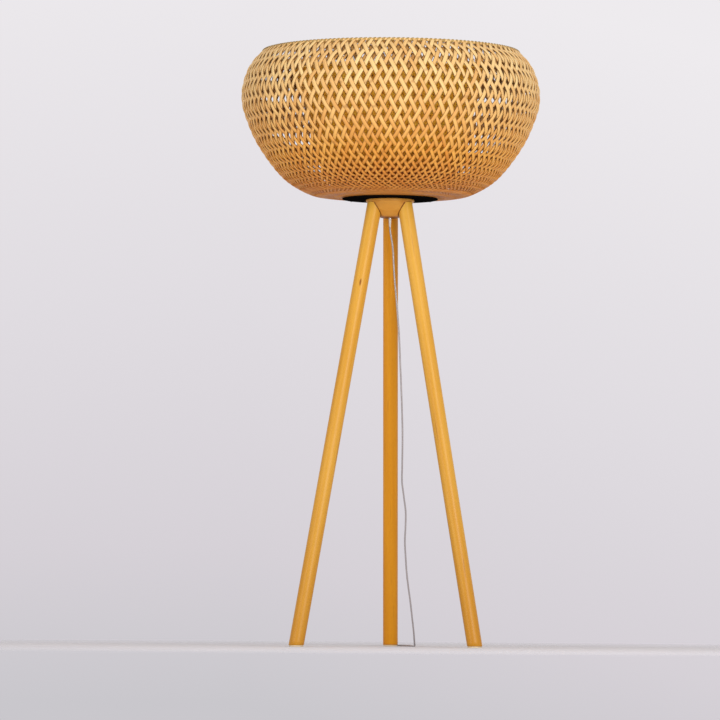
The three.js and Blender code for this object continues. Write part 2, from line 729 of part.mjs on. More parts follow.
function add_drop_cord() {
  const lead_top = insert_bottom - touching_gap;
  add_piece('inner_lead', post(cord_diameter, relief_top + touching_gap, lead_top, cord_sides), clear_cord);
  const taper = [
    [0, relief_bottom], [relief_end_diameter / 2, relief_bottom],
    [relief_top_diameter / 2, relief_top], [0, relief_top],
  ];
  add_piece('cord_relief', turned(taper, round_sides / 2), clear_cord);
  const start = new THREE.Vector3(0, 0, relief_bottom - touching_gap);
  const points = cord_route.slice(1).map((point) => new THREE.Vector3(...point));
  const curve = new THREE.CatmullRomCurve3([start, ...points], false, 'centripetal');
  console.log(`drop cord: ${curve.getLength().toFixed(1)} mm`);
  add_piece('cord_drop', cord_geometry(curve, cord_steps, cord_sides), clear_cord);
}

// Plan outline of a moulded body that narrows towards one or both ends, along +Y from a start
function moulded_plan(x, start, length, width, start_width, end_width, taper) {
  const plan = new THREE.Shape();
  plan.moveTo(x - start_width / 2, start);
  plan.quadraticCurveTo(x - width / 2, start, x - width / 2, start + taper);
  plan.lineTo(x - width / 2, start + length - taper);
  plan.quadraticCurveTo(x - width / 2, start + length, x - end_width / 2, start + length);
  plan.lineTo(x + end_width / 2, start + length);
  plan.quadraticCurveTo(x + width / 2, start + length, x + width / 2, start + length - taper);
  plan.lineTo(x + width / 2, start + taper);
  plan.quadraticCurveTo(x + width / 2, start, x + start_width / 2, start);
  plan.closePath();
  return plan;
}

const cord_end = cord_route[cord_route.length - 1];
const switch_x = cord_end[0];
const switch_start = cord_end[1] + touching_gap;
const switch_middle = switch_start + switch_length / 2;

function box_at(width, length, low, high, x, y) {
  const box = new THREE.BoxGeometry(width, length, high - low);
  return box.translate(x, y, (low + high) / 2);
}

function add_switch() {
  const plan = moulded_plan(
    switch_x, switch_start, switch_length, switch_width, switch_end_width, switch_end_width, switch_taper,
  );
  const flat = { depth: switch_lower_height, bevelEnabled: false, curveSegments: moulding_curve_steps };
  const lower = new THREE.ExtrudeGeometry(plan, flat);
  const well_width = rocker_width + 2 * rocker_gap;
  const well_length = rocker_length + 2 * rocker_gap;
  const top = switch_lower_height + switch_upper_height;
  const well = box_at(well_width, well_length, switch_wall, 2 * top, switch_x, switch_middle);
  const screw_ys = [switch_start + switch_screw_inset, switch_start + switch_length - switch_screw_inset];
  const seat = top - switch_screw.head_height;
  const cutters = screw_ys.map((y) => pilot(switch_screw, seat, 1, switch_x, y));
  add_piece('switch_lower', cut(lower, well, ...cutters), clear_cord);
  const upper = new THREE.ExtrudeGeometry(plan, { ...flat, depth: switch_upper_height });
  upper.translate(0, 0, switch_lower_height);
  const recesses = screw_ys.map((y) => (
    post(switch_screw.head_diameter + 2 * pilot_gap, seat, 2 * top, screw_sides, switch_x, y)
  ));
  add_piece('switch_upper', cut(upper, well, ...cutters, ...recesses), clear_cord);
  screw_ys.forEach((y, i) => {
    add_piece(`switch_screw_${i + 1}`, screw(switch_screw, seat, 1, switch_x, y), steel);
  });

  // The rocker is drawn level in the Y-Z plane, extruded across, and rests with its far end pressed down
  const side = new THREE.Shape();
  const half = rocker_length / 2;
  side.moveTo(-half, -rocker_depth / 2);
  for (let i = 1; i < rocker_arc_steps; i += 1) {
    const share = i / rocker_arc_steps;
    const low = -(rocker_depth / 2) * (1 + Math.sin(share * Math.PI));
    side.lineTo(-half + share * rocker_length, low);
  }
  side.lineTo(half, -rocker_depth / 2);
  const tip = half - rocker_end_slope;
  side.lineTo(tip, rocker_crown + tip * Math.tan(rocker_tilt));
  side.lineTo(0, rocker_crown);
  side.lineTo(-tip, rocker_crown + tip * Math.tan(rocker_tilt));
  side.closePath();
  const rocker = new THREE.ExtrudeGeometry(side, { depth: rocker_width, bevelEnabled: false });
  rocker.translate(0, 0, -rocker_width / 2);
  rocker.rotateX(Math.PI / 2).rotateZ(Math.PI / 2);
  rocker.rotateX(-rocker_tilt).translate(switch_x, switch_middle, rocker_pivot_height);
  add_piece('switch_rocker', rocker, black_paint);
  console.log(`rocker axis: ${switch_x}, ${switch_middle.toFixed(2)}, ${rocker_pivot_height}`);
}

// Centre line of the hank: long loops on each other, drawn in at the waist, climbing along the return run
const hank_start = switch_start + switch_length + touching_gap;
const hank_middle = hank_start + hank_start_gap + hank_length / 2;
const hank_bottom = hank_lift + cord_diameter / 2;
const hank_straight = hank_length - 2 * hank_fold_radius;

function hank_draw(along) {
  return hank_waist_draw * Math.cos((Math.PI * along) / hank_straight) ** 2;
}

function hank_point(turns) {
  const loop = Math.floor(turns);
  const part = turns - loop;
  const spiral = loop % 2 === 0 ? 1 - part : part;
  const fold = hank_fold_radius + hank_spiral_step * spiral;
  const fold_share = 1 / 3;
  const run_share = 1 / 2 - fold_share;
  let [x, y, climb] = [0, 0, 0];
  if (part < run_share) {
    y = (part / run_share - 1 / 2) * hank_straight;
    x = -fold + hank_draw(y);
  } else if (part < run_share + fold_share) {
    const turn = ((part - run_share) / fold_share) * Math.PI;
    x = -fold * Math.cos(turn);
    y = hank_straight / 2 + hank_fold_radius * Math.sin(turn);
  } else if (part < 2 * run_share + fold_share) {
    const share = (part - run_share - fold_share) / run_share;
    y = (1 / 2 - share) * hank_straight;
    x = fold - hank_draw(y);
    climb = (1 - Math.cos(share * Math.PI)) / 2;
  } else {
    const turn = ((part - 2 * run_share - fold_share) / fold_share) * Math.PI;
    x = fold * Math.cos(turn);
    y = -hank_straight / 2 - hank_fold_radius * Math.sin(turn);
    climb = 1;
  }
  const height = hank_bottom + (loop + climb) * hank_layer_step;
  return new THREE.Vector3(switch_x + x, hank_middle + y, height);
}

const hank_top = hank_bottom + (hank_loops - 1) * hank_layer_step + cord_diameter / 2;
const plug_bottom = hank_top + touching_gap;
const plug_axis_height = plug_bottom + plug_height / 2;
const plug_y = hank_middle + plug_start;

function hank_curve_points() {
  const lead_in = hank_lead_in.map(([x, y, z]) => new THREE.Vector3(switch_x + x, hank_start + y, z));
  const loops = [];
  const count = hank_loops * hank_steps_per_loop;
  for (let i = 0; i <= count; i += 1) loops.push(hank_point(i / hank_steps_per_loop));
  const tail = hank_tail.map(([x, y, z]) => new THREE.Vector3(switch_x + x, hank_middle + y, z));
  const runs_in = loops.filter((point, i) => i > 0 || point.y > hank_middle);
  return [...lead_in, ...runs_in, ...tail];
}

// Least distance between the cord's own surface where it passes itself
function least_gap(points) {
  let least = Infinity;
  const reach = 3 * hank_fold_radius;
  const travelled = [0];
  for (let i = 1; i < points.length; i += 1) {
    travelled.push(travelled[i - 1] + points[i].distanceTo(points[i - 1]));
  }
  for (let i = 0; i < points.length; i += 1) {
    for (let j = i + 1; j < points.length; j += 1) {
      if (travelled[j] - travelled[i] > reach) {
        least = Math.min(least, points[i].distanceTo(points[j]) - cord_diameter);
      }
    }
  }
  return least;
}

function add_hank() {
  const curve = new THREE.CatmullRomCurve3(hank_curve_points(), false, 'centripetal');
  const fine = curve.getSpacedPoints(hank_gap_samples);
  console.log(`hank: ${curve.getLength().toFixed(1)} mm, least gap ${least_gap(fine).toFixed(2)} mm`);
  const steps = (hank_loops + 1) * hank_steps_per_loop;
  add_piece('cord_hank', cord_geometry(curve, steps, hank_cord_sides), clear_cord);
  const widest = hank_fold_radius + hank_spiral_step - hank_draw(tie_width / 2);
  const half_wide = widest + cord_diameter / 2 + tie_gap;
  const top = hank_top + hank_layer_step / 2 + tie_gap;
  const outer = box_at(
    2 * (half_wide + tie_thickness), tie_width, 0, top + tie_thickness, switch_x, hank_middle,
  );
  const hole = box_at(2 * half_wide, 2 * tie_width, tie_thickness, top, switch_x, hank_middle);
  add_piece('hank_tie', cut(outer, hole), black_paint);
}

function add_plug() {
  const plan = moulded_plan(
    switch_x, plug_y, plug_length, plug_width, plug_rear_width, plug_face_width, plug_taper,
  );
  const body = new THREE.ExtrudeGeometry(plan, {
    depth: plug_height, bevelEnabled: false, curveSegments: moulding_curve_steps,
  });
  body.translate(0, 0, plug_bottom);
  const face = plug_y + plug_length;
  const blade_box = (side, margin, end) => {
    const box = box_at(
      blade_thickness + 2 * margin, blade_root + end + margin, plug_axis_height - blade_width / 2 - margin,
      plug_axis_height + blade_width / 2 + margin, 0, 0,
    );
    const middle = face - blade_root + (blade_root + end - margin) / 2;
    return box.translate(switch_x + (side * blade_spacing) / 2, middle, 0);
  };
  const slots = [-1, 1].map((side) => blade_box(side, touching_gap, blade_length));
  add_piece('plug_body', cut(body, ...slots), clear_cord);
  add_piece('plug_blade_left', blade_box(-1, 0, blade_length), brass);
  add_piece('plug_blade_right', blade_box(1, 0, blade_length), brass);
}

add_poles();
add_piece('hub', hub_geometry(), pole_wood);
add_piece('base_plate', plate_geometry(), black_paint);
add_shade();
add_screws();
add_centre_tube();
add_lamp_holder();
add_bulb();
add_drop_cord();
add_switch();
add_hank();
add_plug();

export default lamp;
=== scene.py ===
# %% [markdown]
# A floor lamp in split bamboo on three round poles. Its shapes, places and joints come from its packed
# solids, which load as a fixed frame, and this script dresses them.
# +Z is up and the front faces -Y. Lengths are in metres, and small hidden pieces are worked out in
# millimetres first.

# %% Load the lamp
import math

import bmesh
import bpy
import numpy as np
from mathutils import Euler, Matrix, Vector


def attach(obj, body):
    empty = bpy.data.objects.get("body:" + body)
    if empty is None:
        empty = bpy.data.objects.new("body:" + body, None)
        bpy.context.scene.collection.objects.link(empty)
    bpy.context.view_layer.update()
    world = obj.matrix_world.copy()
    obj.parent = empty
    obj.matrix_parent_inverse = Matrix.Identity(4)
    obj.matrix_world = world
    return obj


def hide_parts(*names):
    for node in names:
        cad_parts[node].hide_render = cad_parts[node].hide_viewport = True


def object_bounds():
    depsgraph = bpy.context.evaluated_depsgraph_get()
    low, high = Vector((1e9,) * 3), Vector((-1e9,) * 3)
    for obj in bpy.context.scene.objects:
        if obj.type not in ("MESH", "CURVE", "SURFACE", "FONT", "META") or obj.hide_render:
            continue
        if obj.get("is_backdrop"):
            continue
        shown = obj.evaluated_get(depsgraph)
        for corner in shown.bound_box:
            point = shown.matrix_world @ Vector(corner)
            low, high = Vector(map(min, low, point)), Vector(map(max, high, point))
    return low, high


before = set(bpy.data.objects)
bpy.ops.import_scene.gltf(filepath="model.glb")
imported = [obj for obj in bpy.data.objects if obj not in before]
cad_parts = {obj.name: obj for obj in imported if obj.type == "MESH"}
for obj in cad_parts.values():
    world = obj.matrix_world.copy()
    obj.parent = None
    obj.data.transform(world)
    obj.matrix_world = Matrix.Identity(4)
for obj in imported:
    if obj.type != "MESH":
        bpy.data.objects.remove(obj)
cad_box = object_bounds()
scene = bpy.context.scene
mm = 0.001

# %% [markdown]
# The camera stands far off with a long lens, a hand's breadth above the floor, so that the feet are almost
# level with each other and the rim is seen from a little below. It is turned and rolled a touch, because the
# picture's lamp leans to the right.
# It could be placed by eye, but the lamp's known height gives the lens exactly: so many pixels for each metre
# at its distance.

# %% Camera
picture_side, sensor_width = 720, 36
pixels_per_metre, camera_distance = 357.6, 14.5
camera_height, camera_x, aim_height = 0.10, -0.0812, 0.8015
camera_turn, camera_roll = math.radians(2.2), math.radians(0.4)

camera = bpy.data.objects.new("camera", bpy.data.cameras.new("camera"))
scene.collection.objects.link(camera)
scene.camera = camera
camera.data.sensor_width = sensor_width
camera.data.lens = sensor_width * pixels_per_metre * camera_distance / picture_side
camera.data.clip_end = 200
c, s = math.cos(camera_turn), math.sin(camera_turn)
camera.location = (camera_x * c + camera_distance * s, camera_x * s - camera_distance * c, camera_height)
tilt = math.atan2(aim_height - camera_height, camera_distance)
aimed = Euler((math.pi / 2 + tilt, 0, camera_turn)).to_matrix()
camera.rotation_euler = (aimed @ Matrix.Rotation(camera_roll, 3, "Z")).to_euler()
print(f"lens {camera.data.lens:.1f} mm, tilted up {math.degrees(tilt):.2f} degrees")

# %% [markdown]
# Most pieces are quads between rings of points: a small profile carried along a line, or an outline carried
# round an axis.
# Primitives could give such forms too. Points in arrays let every strip follow its own line and carry its own
# coordinates for the grain.

# %% Meshes from rings of points
def full_turn(steps):
    return np.arange(steps) / steps * 2 * math.pi


def round_axis(angles, reach=1.0, height=0.0):
    """Points at some angles round the axis."""
    return np.stack(np.broadcast_arrays(reach * np.cos(angles), reach * np.sin(angles), height), -1)


def ring_faces(rings, sides, wrap=False, caps=False, flip=False):
    """Quads between rings of points. Wrap joins the last ring to the first, and caps close both."""
    i, j = np.meshgrid(np.arange(rings - (not wrap)), np.arange(sides), indexing="ij")
    below, beside = (i + 1) % rings, (j + 1) % sides
    quads = np.stack([i * sides + j, i * sides + beside, below * sides + beside, below * sides + j], -1)
    faces = quads.reshape(-1, 4).tolist()
    if caps:
        faces += [list(range(sides))[::-1], list(range((rings - 1) * sides, rings * sides))]
    return [face[::-1] for face in faces] if flip else faces


def piece_from(name, points, faces, material=None, corner=None, mend=False):
    """A smooth piece. Edges beyond the corner's degrees stay sharp. To mend is to merge doubled points
    and to turn all faces outwards."""
    mesh = bpy.data.meshes.new(name)
    mesh.from_pydata(np.reshape(points, (-1, 3)).tolist(), [], faces)
    mesh.update()
    mesh.polygons.foreach_set("use_smooth", [True] * len(mesh.polygons))
    if mend:
        form = bmesh.new()
        form.from_mesh(mesh)
        bmesh.ops.remove_doubles(form, verts=form.verts, dist=1e-6)
        bmesh.ops.dissolve_degenerate(form, dist=1e-7, edges=form.edges)
        bmesh.ops.recalc_face_normals(form, faces=form.faces)
        form.to_mesh(mesh)
        form.free()
    if corner:
        mesh.set_sharp_from_angle(angle=math.radians(corner))
    if material:
        mesh.materials.append(material)
    piece = bpy.data.objects.new(name, mesh)
    scene.collection.objects.link(piece)
    return piece


def keep(piece, name, values):
    """Keeps a number or a vector on each point of a piece, for its material to read."""
    values = np.asarray(values, np.float32)
    kind, field = ("FLOAT", "value") if values.ndim == 1 else ("FLOAT_VECTOR", "vector")
    piece.data.attributes.new(name, kind, "POINT").data.foreach_set(field, values.ravel())


def finish_piece(piece, slot, *nodes, body="lamp"):
    """The piece rides on its body and stands for the nodes, which are hidden. The slot is not used."""
    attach(piece, body)
    if nodes:
        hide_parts(*nodes)
    return piece


# %% [markdown]
# A smooth line through a few chosen points serves the cord, the baskets' outlines and turned wood. A Bezier
# curve would need handles, and this spline passes through its own points.
# The power shares out the curve: 0 counts each stretch alike, and 0.5 keeps the cord from looping where
# points crowd.

# %% Smooth line through points
def smooth_line(points, steps, power):
    p = np.asarray(points, float)
    p = np.vstack([2 * p[0] - p[1], p, 2 * p[-1] - p[-2]])
    t = np.linspace(0, 1, steps, endpoint=False)[:, None]
    found = []
    for a, b, c, d in zip(p[:-3], p[1:-2], p[2:-1], p[3:]):
        first, span, last = (max(np.linalg.norm(n) ** power, 1e-9) for n in (b - a, c - b, d - c))
        leave = ((b - a) / first - (c - a) / (first + span) + (c - b) / span) * span
        reach = ((c - b) / span - (d - b) / (span + last) + (d - c) / last) * span
        square, cube = 3 * (c - b) - 2 * leave - reach, 2 * (b - c) + leave + reach
        found.append(b + leave * t + square * t**2 + cube * t**3)
    return np.vstack([*found, p[-2][None]])


def evenly(points, count):
    """The same line with points at equal distances along it."""
    travelled = np.r_[0, np.cumsum(np.linalg.norm(np.diff(points, axis=0), axis=1))]
    at = np.linspace(0, travelled[-1], count)
    return np.stack([np.interp(at, travelled, axis) for axis in points.T], -1)


def length_of(points):
    return float(np.linalg.norm(np.diff(points, axis=0), axis=1).sum())


# %% [markdown]
# The mains cord leaves the middle of the hub, hangs beside the back pole and turns on the floor behind it.
# There it passes through a hand switch, and the rest is a tied hank with the plug on top.
# A hanging cord could be simulated. Chosen points keep the slow bends of the carton it came in.

# %% Cord: the line that it follows
cord_route = [
    (0, 0, 1176.4), (1.5, 0, 1160), (7.9, 1, 1122), (13.4, 3, 1038), (20.4, 6, 962),
    (26.9, 10, 880), (31.5, 15, 785), (35.6, 20, 690), (38.4, 26, 600), (38, 32, 510),
    (37.6, 36, 464), (43, 40, 420), (48.2, 43, 378), (47.9, 46, 336), (46.4, 49, 296),
    (48.6, 53, 252), (51.8, 57, 208), (56.5, 60, 168), (62.4, 65, 126), (67.2, 71, 84),
    (71.5, 79, 46), (73.4, 91, 20), (73.8, 114, 5.4), (72.5, 142, 2.9), (68, 176, 2.8),
    (59, 212, 2.8), (47, 247, 2.8), (33.5, 284, 2.8), (19, 315, 3.1), (6.5, 336, 5.3),
    (1.2, 351, 8.2), (0.5, 362, 9), (0.5, 370, 9),
]
switch_x, switch_start, switch_length = 0.5, 370.3, 62
hank_start = switch_start + switch_length + 0.3
hank_lead_length, hank_length = 38, 95
hank_x, hank_middle = switch_x - 5, hank_start + hank_lead_length + hank_length / 2
hank_lead_in = [(0, 0, 9), (0, 5, 9), (-3.8, 13, 8.1), (-11.2, 22, 6.0), (-17.6, 31, 4.3), (-20.5, 41, 3.8)]
hank_tail = [(-18.6, -24, 27.9), (-13.4, -14, 29.7), (-6.4, -4, 30.9), (-0.8, 5, 31.2), (0, 11.7, 31.2)]
hank_loops, points_per_loop = 4, 24


def hank_point(turns):
    """A point of the hank's middle line: long loops on each other, drawn in where they are tied."""
    fold_radius, straight, layer_step, bottom, draw = 15, 65, 5.7, 3.8, 6
    run_share, fold_share = 1 / 6, 1 / 3
    loop, part = divmod(turns, 1)
    fold = fold_radius + (part if loop % 2 else 1 - part)
    back, half = (1, part) if part < 0.5 else (-1, part - 0.5)
    climb = (1 - math.cos(min(half / run_share, 1) * math.pi)) / 2 if back < 0 else 0
    if half < run_share:
        y = (half / run_share - 0.5) * straight
        x = draw * math.cos(math.pi * y / straight) ** 2 - fold
    else:
        turn = (half - run_share) / fold_share * math.pi
        x, y = -fold * math.cos(turn), straight / 2 + fold_radius * math.sin(turn)
    return (hank_x + back * x, hank_middle + back * y, bottom + (loop + climb) * layer_step)


loops = [hank_point(i / points_per_loop) for i in range(hank_loops * points_per_loop + 1)]
loops = [p for i, p in enumerate(loops) if i > 0 or p[1] > hank_middle]
lead_in = [(switch_x + x, hank_start + y, z) for x, y, z in hank_lead_in]
tail = [(switch_x + x, hank_middle + y, z) for x, y, z in hank_tail]
drop_line = smooth_line(cord_route, 12, 0.5) * mm
hank_line = smooth_line([*lead_in, *loops, *tail], 4, 0.5) * mm
print(f"drop {length_of(drop_line):.3f} m, hank {length_of(hank_line):.3f} m")

# %% [markdown]
# The cord is a round tube on that line. A curve with a bevel is the plain way to it: it stays one line that
# can be measured. The switch is slipped on, so the line runs straight on inside it.

# %% Cord: the tube
cord_diameter = 5 * mm
cord_line = np.vstack([drop_line, hank_line])
cord_curve = bpy.data.curves.new("mains_cord", "CURVE")
cord_curve.dimensions = "3D"
cord_curve.bevel_depth, cord_curve.bevel_resolution = cord_diameter / 2, 3
spline = cord_curve.splines.new("POLY")
spline.points.add(len(cord_line) - 1)
spline.points.foreach_set("co", np.c_[cord_line, np.ones(len(cord_line))].ravel())
spline.use_smooth = True
cord = bpy.data.objects.new("mains_cord", cord_curve)
scene.collection.objects.link(cord)
print(f"cord {length_of(cord_line):.3f} m in {len(cord_line)} points")

# %% [markdown]
# Bamboo, wood, moulding and metal each show up in more than one finish, so each effect is a node group with
# named sockets.
# A group could hold the shader as well. Only colours, roughness and heights come out, so that the shader
# stays in plain sight in each material.

# %% Helpers for node trees
def new_group(name, vectors, colours, values, results=("Colour", "Roughness", "Height")):
    """An empty group, with what it is given and what it has to work out, both by name."""
    tree = bpy.data.node_groups.new(name, "ShaderNodeTree")
    for names, kind in ((vectors, "Vector"), (colours, "Color"), (values, "Float")):
        for socket_name in names:
            tree.interface.new_socket(socket_name, in_out="INPUT", socket_type="NodeSocket" + kind)
    for socket_name in results:
        kind = "NodeSocketColor" if socket_name == "Colour" else "NodeSocketFloat"
        tree.interface.new_socket(socket_name, in_out="OUTPUT", socket_type=kind)
    given, result = tree.nodes.new("NodeGroupInput"), tree.nodes.new("NodeGroupOutput")
    return tree, given.outputs, result.inputs


def wire(socket, value):
    """Feeds a socket with another socket, or sets it to a plain value."""
    if isinstance(value, bpy.types.NodeSocket):
        socket.id_data.links.new(value, socket)
    else:
        socket.default_value = value


def node(tree, kind, *values, out=0, **settings):
    """Adds a node and returns an output. Values feed its inputs in order, where None leaves one as it is,
    and settings those they name. Without a tree, the node goes where its first linked value is."""
    tree = tree or next(v.id_data for v in values if isinstance(v, bpy.types.NodeSocket))
    made = tree.nodes.new("ShaderNode" + kind)
    for key, value in settings.items():
        if hasattr(made, key):
            setattr(made, key, value)
        else:
            wire(made.inputs[key], value)
    for socket, value in zip(made.inputs, values):
        if value is not None:
            wire(socket, value)
    return made.outputs[out]


def maths(operation, *values):
    return node(None, "Math", *values, operation=operation)


def plus(*values):
    return maths("ADD", *values)


def times(*values):
    return maths("MULTIPLY", *values)


def vector_maths(operation, *values, out=0):
    return node(None, "VectorMath", *values, out=out, operation=operation)


def noise(place, stretch=None, scale=1.0, detail=3.0, roughness=0.55, distortion=0.0):
    """Noise at a place. Stretch scales each axis, which draws the pattern out along the others."""
    place = vector_maths("MULTIPLY", place, stretch) if stretch else place
    named = {"Scale": scale, "Detail": detail, "Roughness": roughness, "Distortion": distortion}
    return node(None, "TexNoise", place, **named)


def between(value, low, high, to_low=0.0, to_high=1.0):
    """Spreads a value from one range to another, and stops at its ends."""
    return node(None, "MapRange", value, low, high, to_low, to_high)


def mixed(share, first, second, way="MIX"):
    values = [share, *[None] * 5, first, second]
    return node(None, "Mix", *values, out=2, data_type="RGBA", blend_type=way)


# %% [markdown]
# A split bamboo strip is straight-fibred: hair lines run along it, its tone drifts, a node of the cane
# crosses it here and there, and one strip is paler than the next. Each strip is painted darker towards its
# edges, partly as split edges that take more stain and partly as painted shade along its sides.
# Ready-made wood textures show rings, which bamboo doesn't have, so the pattern is noise drawn out along the
# strip.

# %% Split bamboo effect
bamboo_effect, given, result = new_group(
    "split_bamboo", ["Place"], ["Pale", "Deep", "Dark"], ["Tone", "Fibre", "Edge"]
)
fine = between(noise(given["Place"], (9, 1400, 300), detail=4, roughness=0.62), 0.35, 0.65)
drift = between(noise(given["Place"], (7, 60, 900), detail=2), 0.3, 0.7, 0, 0.38)
cane_node = between(noise(given["Place"], (26, 20, 900), detail=0), 0.71, 0.76)
ground = mixed(plus(times(given["Tone"], 0.62), drift), given["Deep"], given["Pale"])
lined = mixed(times(maths("SUBTRACT", 1.0, fine), given["Fibre"]), ground, given["Deep"])
banded = mixed(times(cane_node, 0.55), lined, mixed(0.6, given["Deep"], (0.05, 0.02, 0.01, 1)))
# Darker strip edges: partly stain on the split edges, partly painted shade along the strips' sides.
edge_stain_and_shade = times(between(given["Edge"], 0.1, 0.9), 0.68)
wire(result["Colour"], mixed(edge_stain_and_shade, banded, given["Dark"]))
wire(result["Roughness"], between(fine, 0, 1, 0.53, 0.33))
wire(result["Height"], plus(fine, times(cane_node, 1.5)))

# %% [markdown]
# Baskets and poles are painted darker lower down, as painted shade where less light reaches them. One
# number runs with the height and multiplies whatever colour is there already.

# %% Deeper below effect
deeper_effect, given, result = new_group(
    "deeper_below", ["Place"], ["Colour", "Tint"], ["Low", "High"], ["Colour"]
)
height = node(deeper_effect, "SeparateXYZ", given["Place"], out="Z")
share = between(height, given["Low"], given["High"], 1.0, 0.0)
wire(result["Colour"], mixed(share, given["Colour"], given["Tint"], "MULTIPLY"))

# %% [markdown]
# One pole has a single dark knot, a grain of rice in size. Noise could make a thousand knots, but not one in
# a known spot, so this is dark inside one small ellipsoid only.

# %% Small knot effect
knot_effect, given, result = new_group(
    "small_knot", ["Place", "Spot", "Reach"], ["Colour", "Dark"], [], ["Colour"]
)
offset = vector_maths("DIVIDE", vector_maths("SUBTRACT", given["Place"], given["Spot"]), given["Reach"])
inside = between(vector_maths("LENGTH", offset, out="Value"), 0.45, 1.0, 0.85, 0.0)
wire(result["Colour"], mixed(inside, given["Colour"], given["Dark"]))

# %% [markdown]
# The poles and hub are lacquered light wood with a straight grain: soft streaks, a few narrow darker ones,
# short pores, and a slow change from yellow to orange.
# Rings could be worked out from the tree's own axis. Noise drawn out along the piece gives what the eye finds
# on so slim a pole.

# %% Straight grain effect
grain_effect, given, result = new_group(
    "straight_grain", ["Place"], ["Pale", "Deep", "Streak"], ["Contrast"]
)
broad = between(noise(given["Place"], (55, 55, 1.7), distortion=0.35), 0.33, 0.67, 0, 0.62)
lines = noise(given["Place"], (330, 330, 5), detail=4, roughness=0.6)
rare = between(noise(given["Place"], (120, 120, 4.2), detail=1, distortion=0.2), 0.70, 0.78)
pore = between(noise(given["Place"], (1900, 1900, 70), detail=1), 0.62, 0.72)
slow = between(noise(given["Place"], (6, 6, 1.3), detail=1), 0.35, 0.65, 0, 0.38)
ground = mixed(plus(broad, slow), given["Deep"], given["Pale"])
lined = mixed(times(between(lines, 0.52, 0.72), given["Contrast"]), ground, given["Deep"])
streaked = mixed(times(rare, 0.75), lined, given["Streak"])
wire(result["Colour"], mixed(times(pore, 0.28), streaked, given["Streak"]))
wire(result["Roughness"], between(lines, 0.3, 0.7, 0.34, 0.46))
wire(result["Height"], maths("SUBTRACT", times(lines, 0.4), pore))

# %% [markdown]
# Moulded plastic and rubber have a fine even pebble, faint flow marks and a little dust in patches. Metal
# has hair lines one way and small duller patches.
# Both are cheap effects, and without them each piece would be one flat colour.

# %% Moulded and metal effects
moulded_effect, given, result = new_group(
    "moulded_surface", ["Place"], ["Colour", "Worn"], ["Grain Scale", "Roughness"]
)
flow = between(noise(given["Place"], scale=35.0, detail=2, distortion=0.8), 0.35, 0.65, 0, 0.12)
dust = between(noise(given["Place"], scale=160.0, detail=4), 0.52, 0.75, 0, 0.22)
wire(result["Colour"], mixed(dust, mixed(flow, given["Colour"], given["Worn"]), given["Worn"]))
wire(result["Roughness"], plus(given["Roughness"], times(dust, 0.6)))
wire(result["Height"], noise(given["Place"], scale=given["Grain Scale"], detail=2))

metal_effect, given, result = new_group("worked_metal", ["Place"], ["Colour", "Worn"], ["Roughness"])
lines = noise(given["Place"], (400, 400, 5200), detail=2)
patches = between(noise(given["Place"], scale=210.0, detail=4), 0.42, 0.66)
wire(result["Colour"], mixed(patches, given["Colour"], given["Worn"]))
rough = plus(given["Roughness"], times(patches, 0.16))
wire(result["Roughness"], plus(rough, times(lines, 0.06)))
wire(result["Height"], lines)
print("effects:", [f"{group.name} {len(group.nodes)} nodes" for group in bpy.data.node_groups])

# %% [markdown]
# Each finish is one material: a group gives colour, roughness and height to a Principled shader, and numbers
# that are the same all over are set on the shader's own sockets.
# Pieces that keep a place of their own on each point have a grain that follows the strip or the pole. The
# others are read in object coordinates.

# %% Helpers for a finish
def pattern(tree, effect, place, values):
    """An effect in a material. Place is a kept vector's name, or None for object coordinates."""
    made = tree.nodes.new("ShaderNodeGroup")
    made.node_tree = effect
    if place:
        wire(made.inputs["Place"], node(tree, "Attribute", out="Vector", attribute_name=place))
    else:
        wire(made.inputs["Place"], node(tree, "TexCoord", out="Object"))
    for key, value in values.items():
        if isinstance(value, str):
            value = node(tree, "Attribute", out="Fac", attribute_name=value)
        wire(made.inputs[key], value)
    return made.outputs


def new_finish(name, effect, place, values, bump, **shader_values):
    """A material. Values are numbers, colours or names of kept numbers. Bump is strength and distance."""
    material = bpy.data.materials.new(name)
    material.use_nodes = True
    tree = material.node_tree
    shader = tree.nodes["Principled BSDF"].inputs
    found = pattern(tree, effect, place, values)
    wire(shader["Base Color"], found["Colour"])
    wire(shader["Roughness"], found["Roughness"])
    raised = node(tree, "Bump", Strength=bump[0], Distance=bump[1], Height=found["Height"])
    wire(shader["Normal"], raised)
    for key, value in shader_values.items():
        shader[key.replace("_", " ")].default_value = value
    return material


def change_colour(material, effect, place, **values):
    """Lets an effect change the colour of a finish."""
    base = material.node_tree.nodes["Principled BSDF"].inputs["Base Color"]
    values["Colour"] = base.links[0].from_socket
    wire(base, pattern(material.node_tree, effect, place, values)["Colour"])


def deepen(material, low, high, tint, place=None):
    """Multiplies the colour by a tint at the low height and below, and leaves it alone from the high one.
    Place names a kept vector whose third number is read instead of the height."""
    change_colour(material, deeper_effect, place, Low=low, High=high, Tint=(*tint, 1))


def srgb(red, green, blue):
    """A colour as it is seen, 0 to 255, as the linear numbers that the nodes want."""
    linear = [v / 255 / 12.92 if v <= 10 else ((v / 255 + 0.055) / 1.055) ** 2.4 for v in (red, green, blue)]
    return (*linear, 1.0)


# %% [markdown]
# The outer basket is pale honey, redder and darker at its strips' edges, and the inner one a deeper
# orange, so that it shows orange behind the weave. Both are painted darker low down, as painted shade.
# How pale a strip is comes from a number kept on its points. Objects with random colours would do the same,
# but here one mesh holds a whole set.

# %% Bamboo finishes
def bamboo_finish(name, pale, deep, dark, fibre):
    values = {"Pale": srgb(*pale), "Deep": srgb(*deep), "Dark": srgb(*dark), "Fibre": fibre}
    values |= {"Tone": "strip_tone", "Edge": "strip_edge"}
    return new_finish(name, bamboo_effect, "strip_place", values, (0.35, 0.0003), Specular_IOR_Level=0.22)


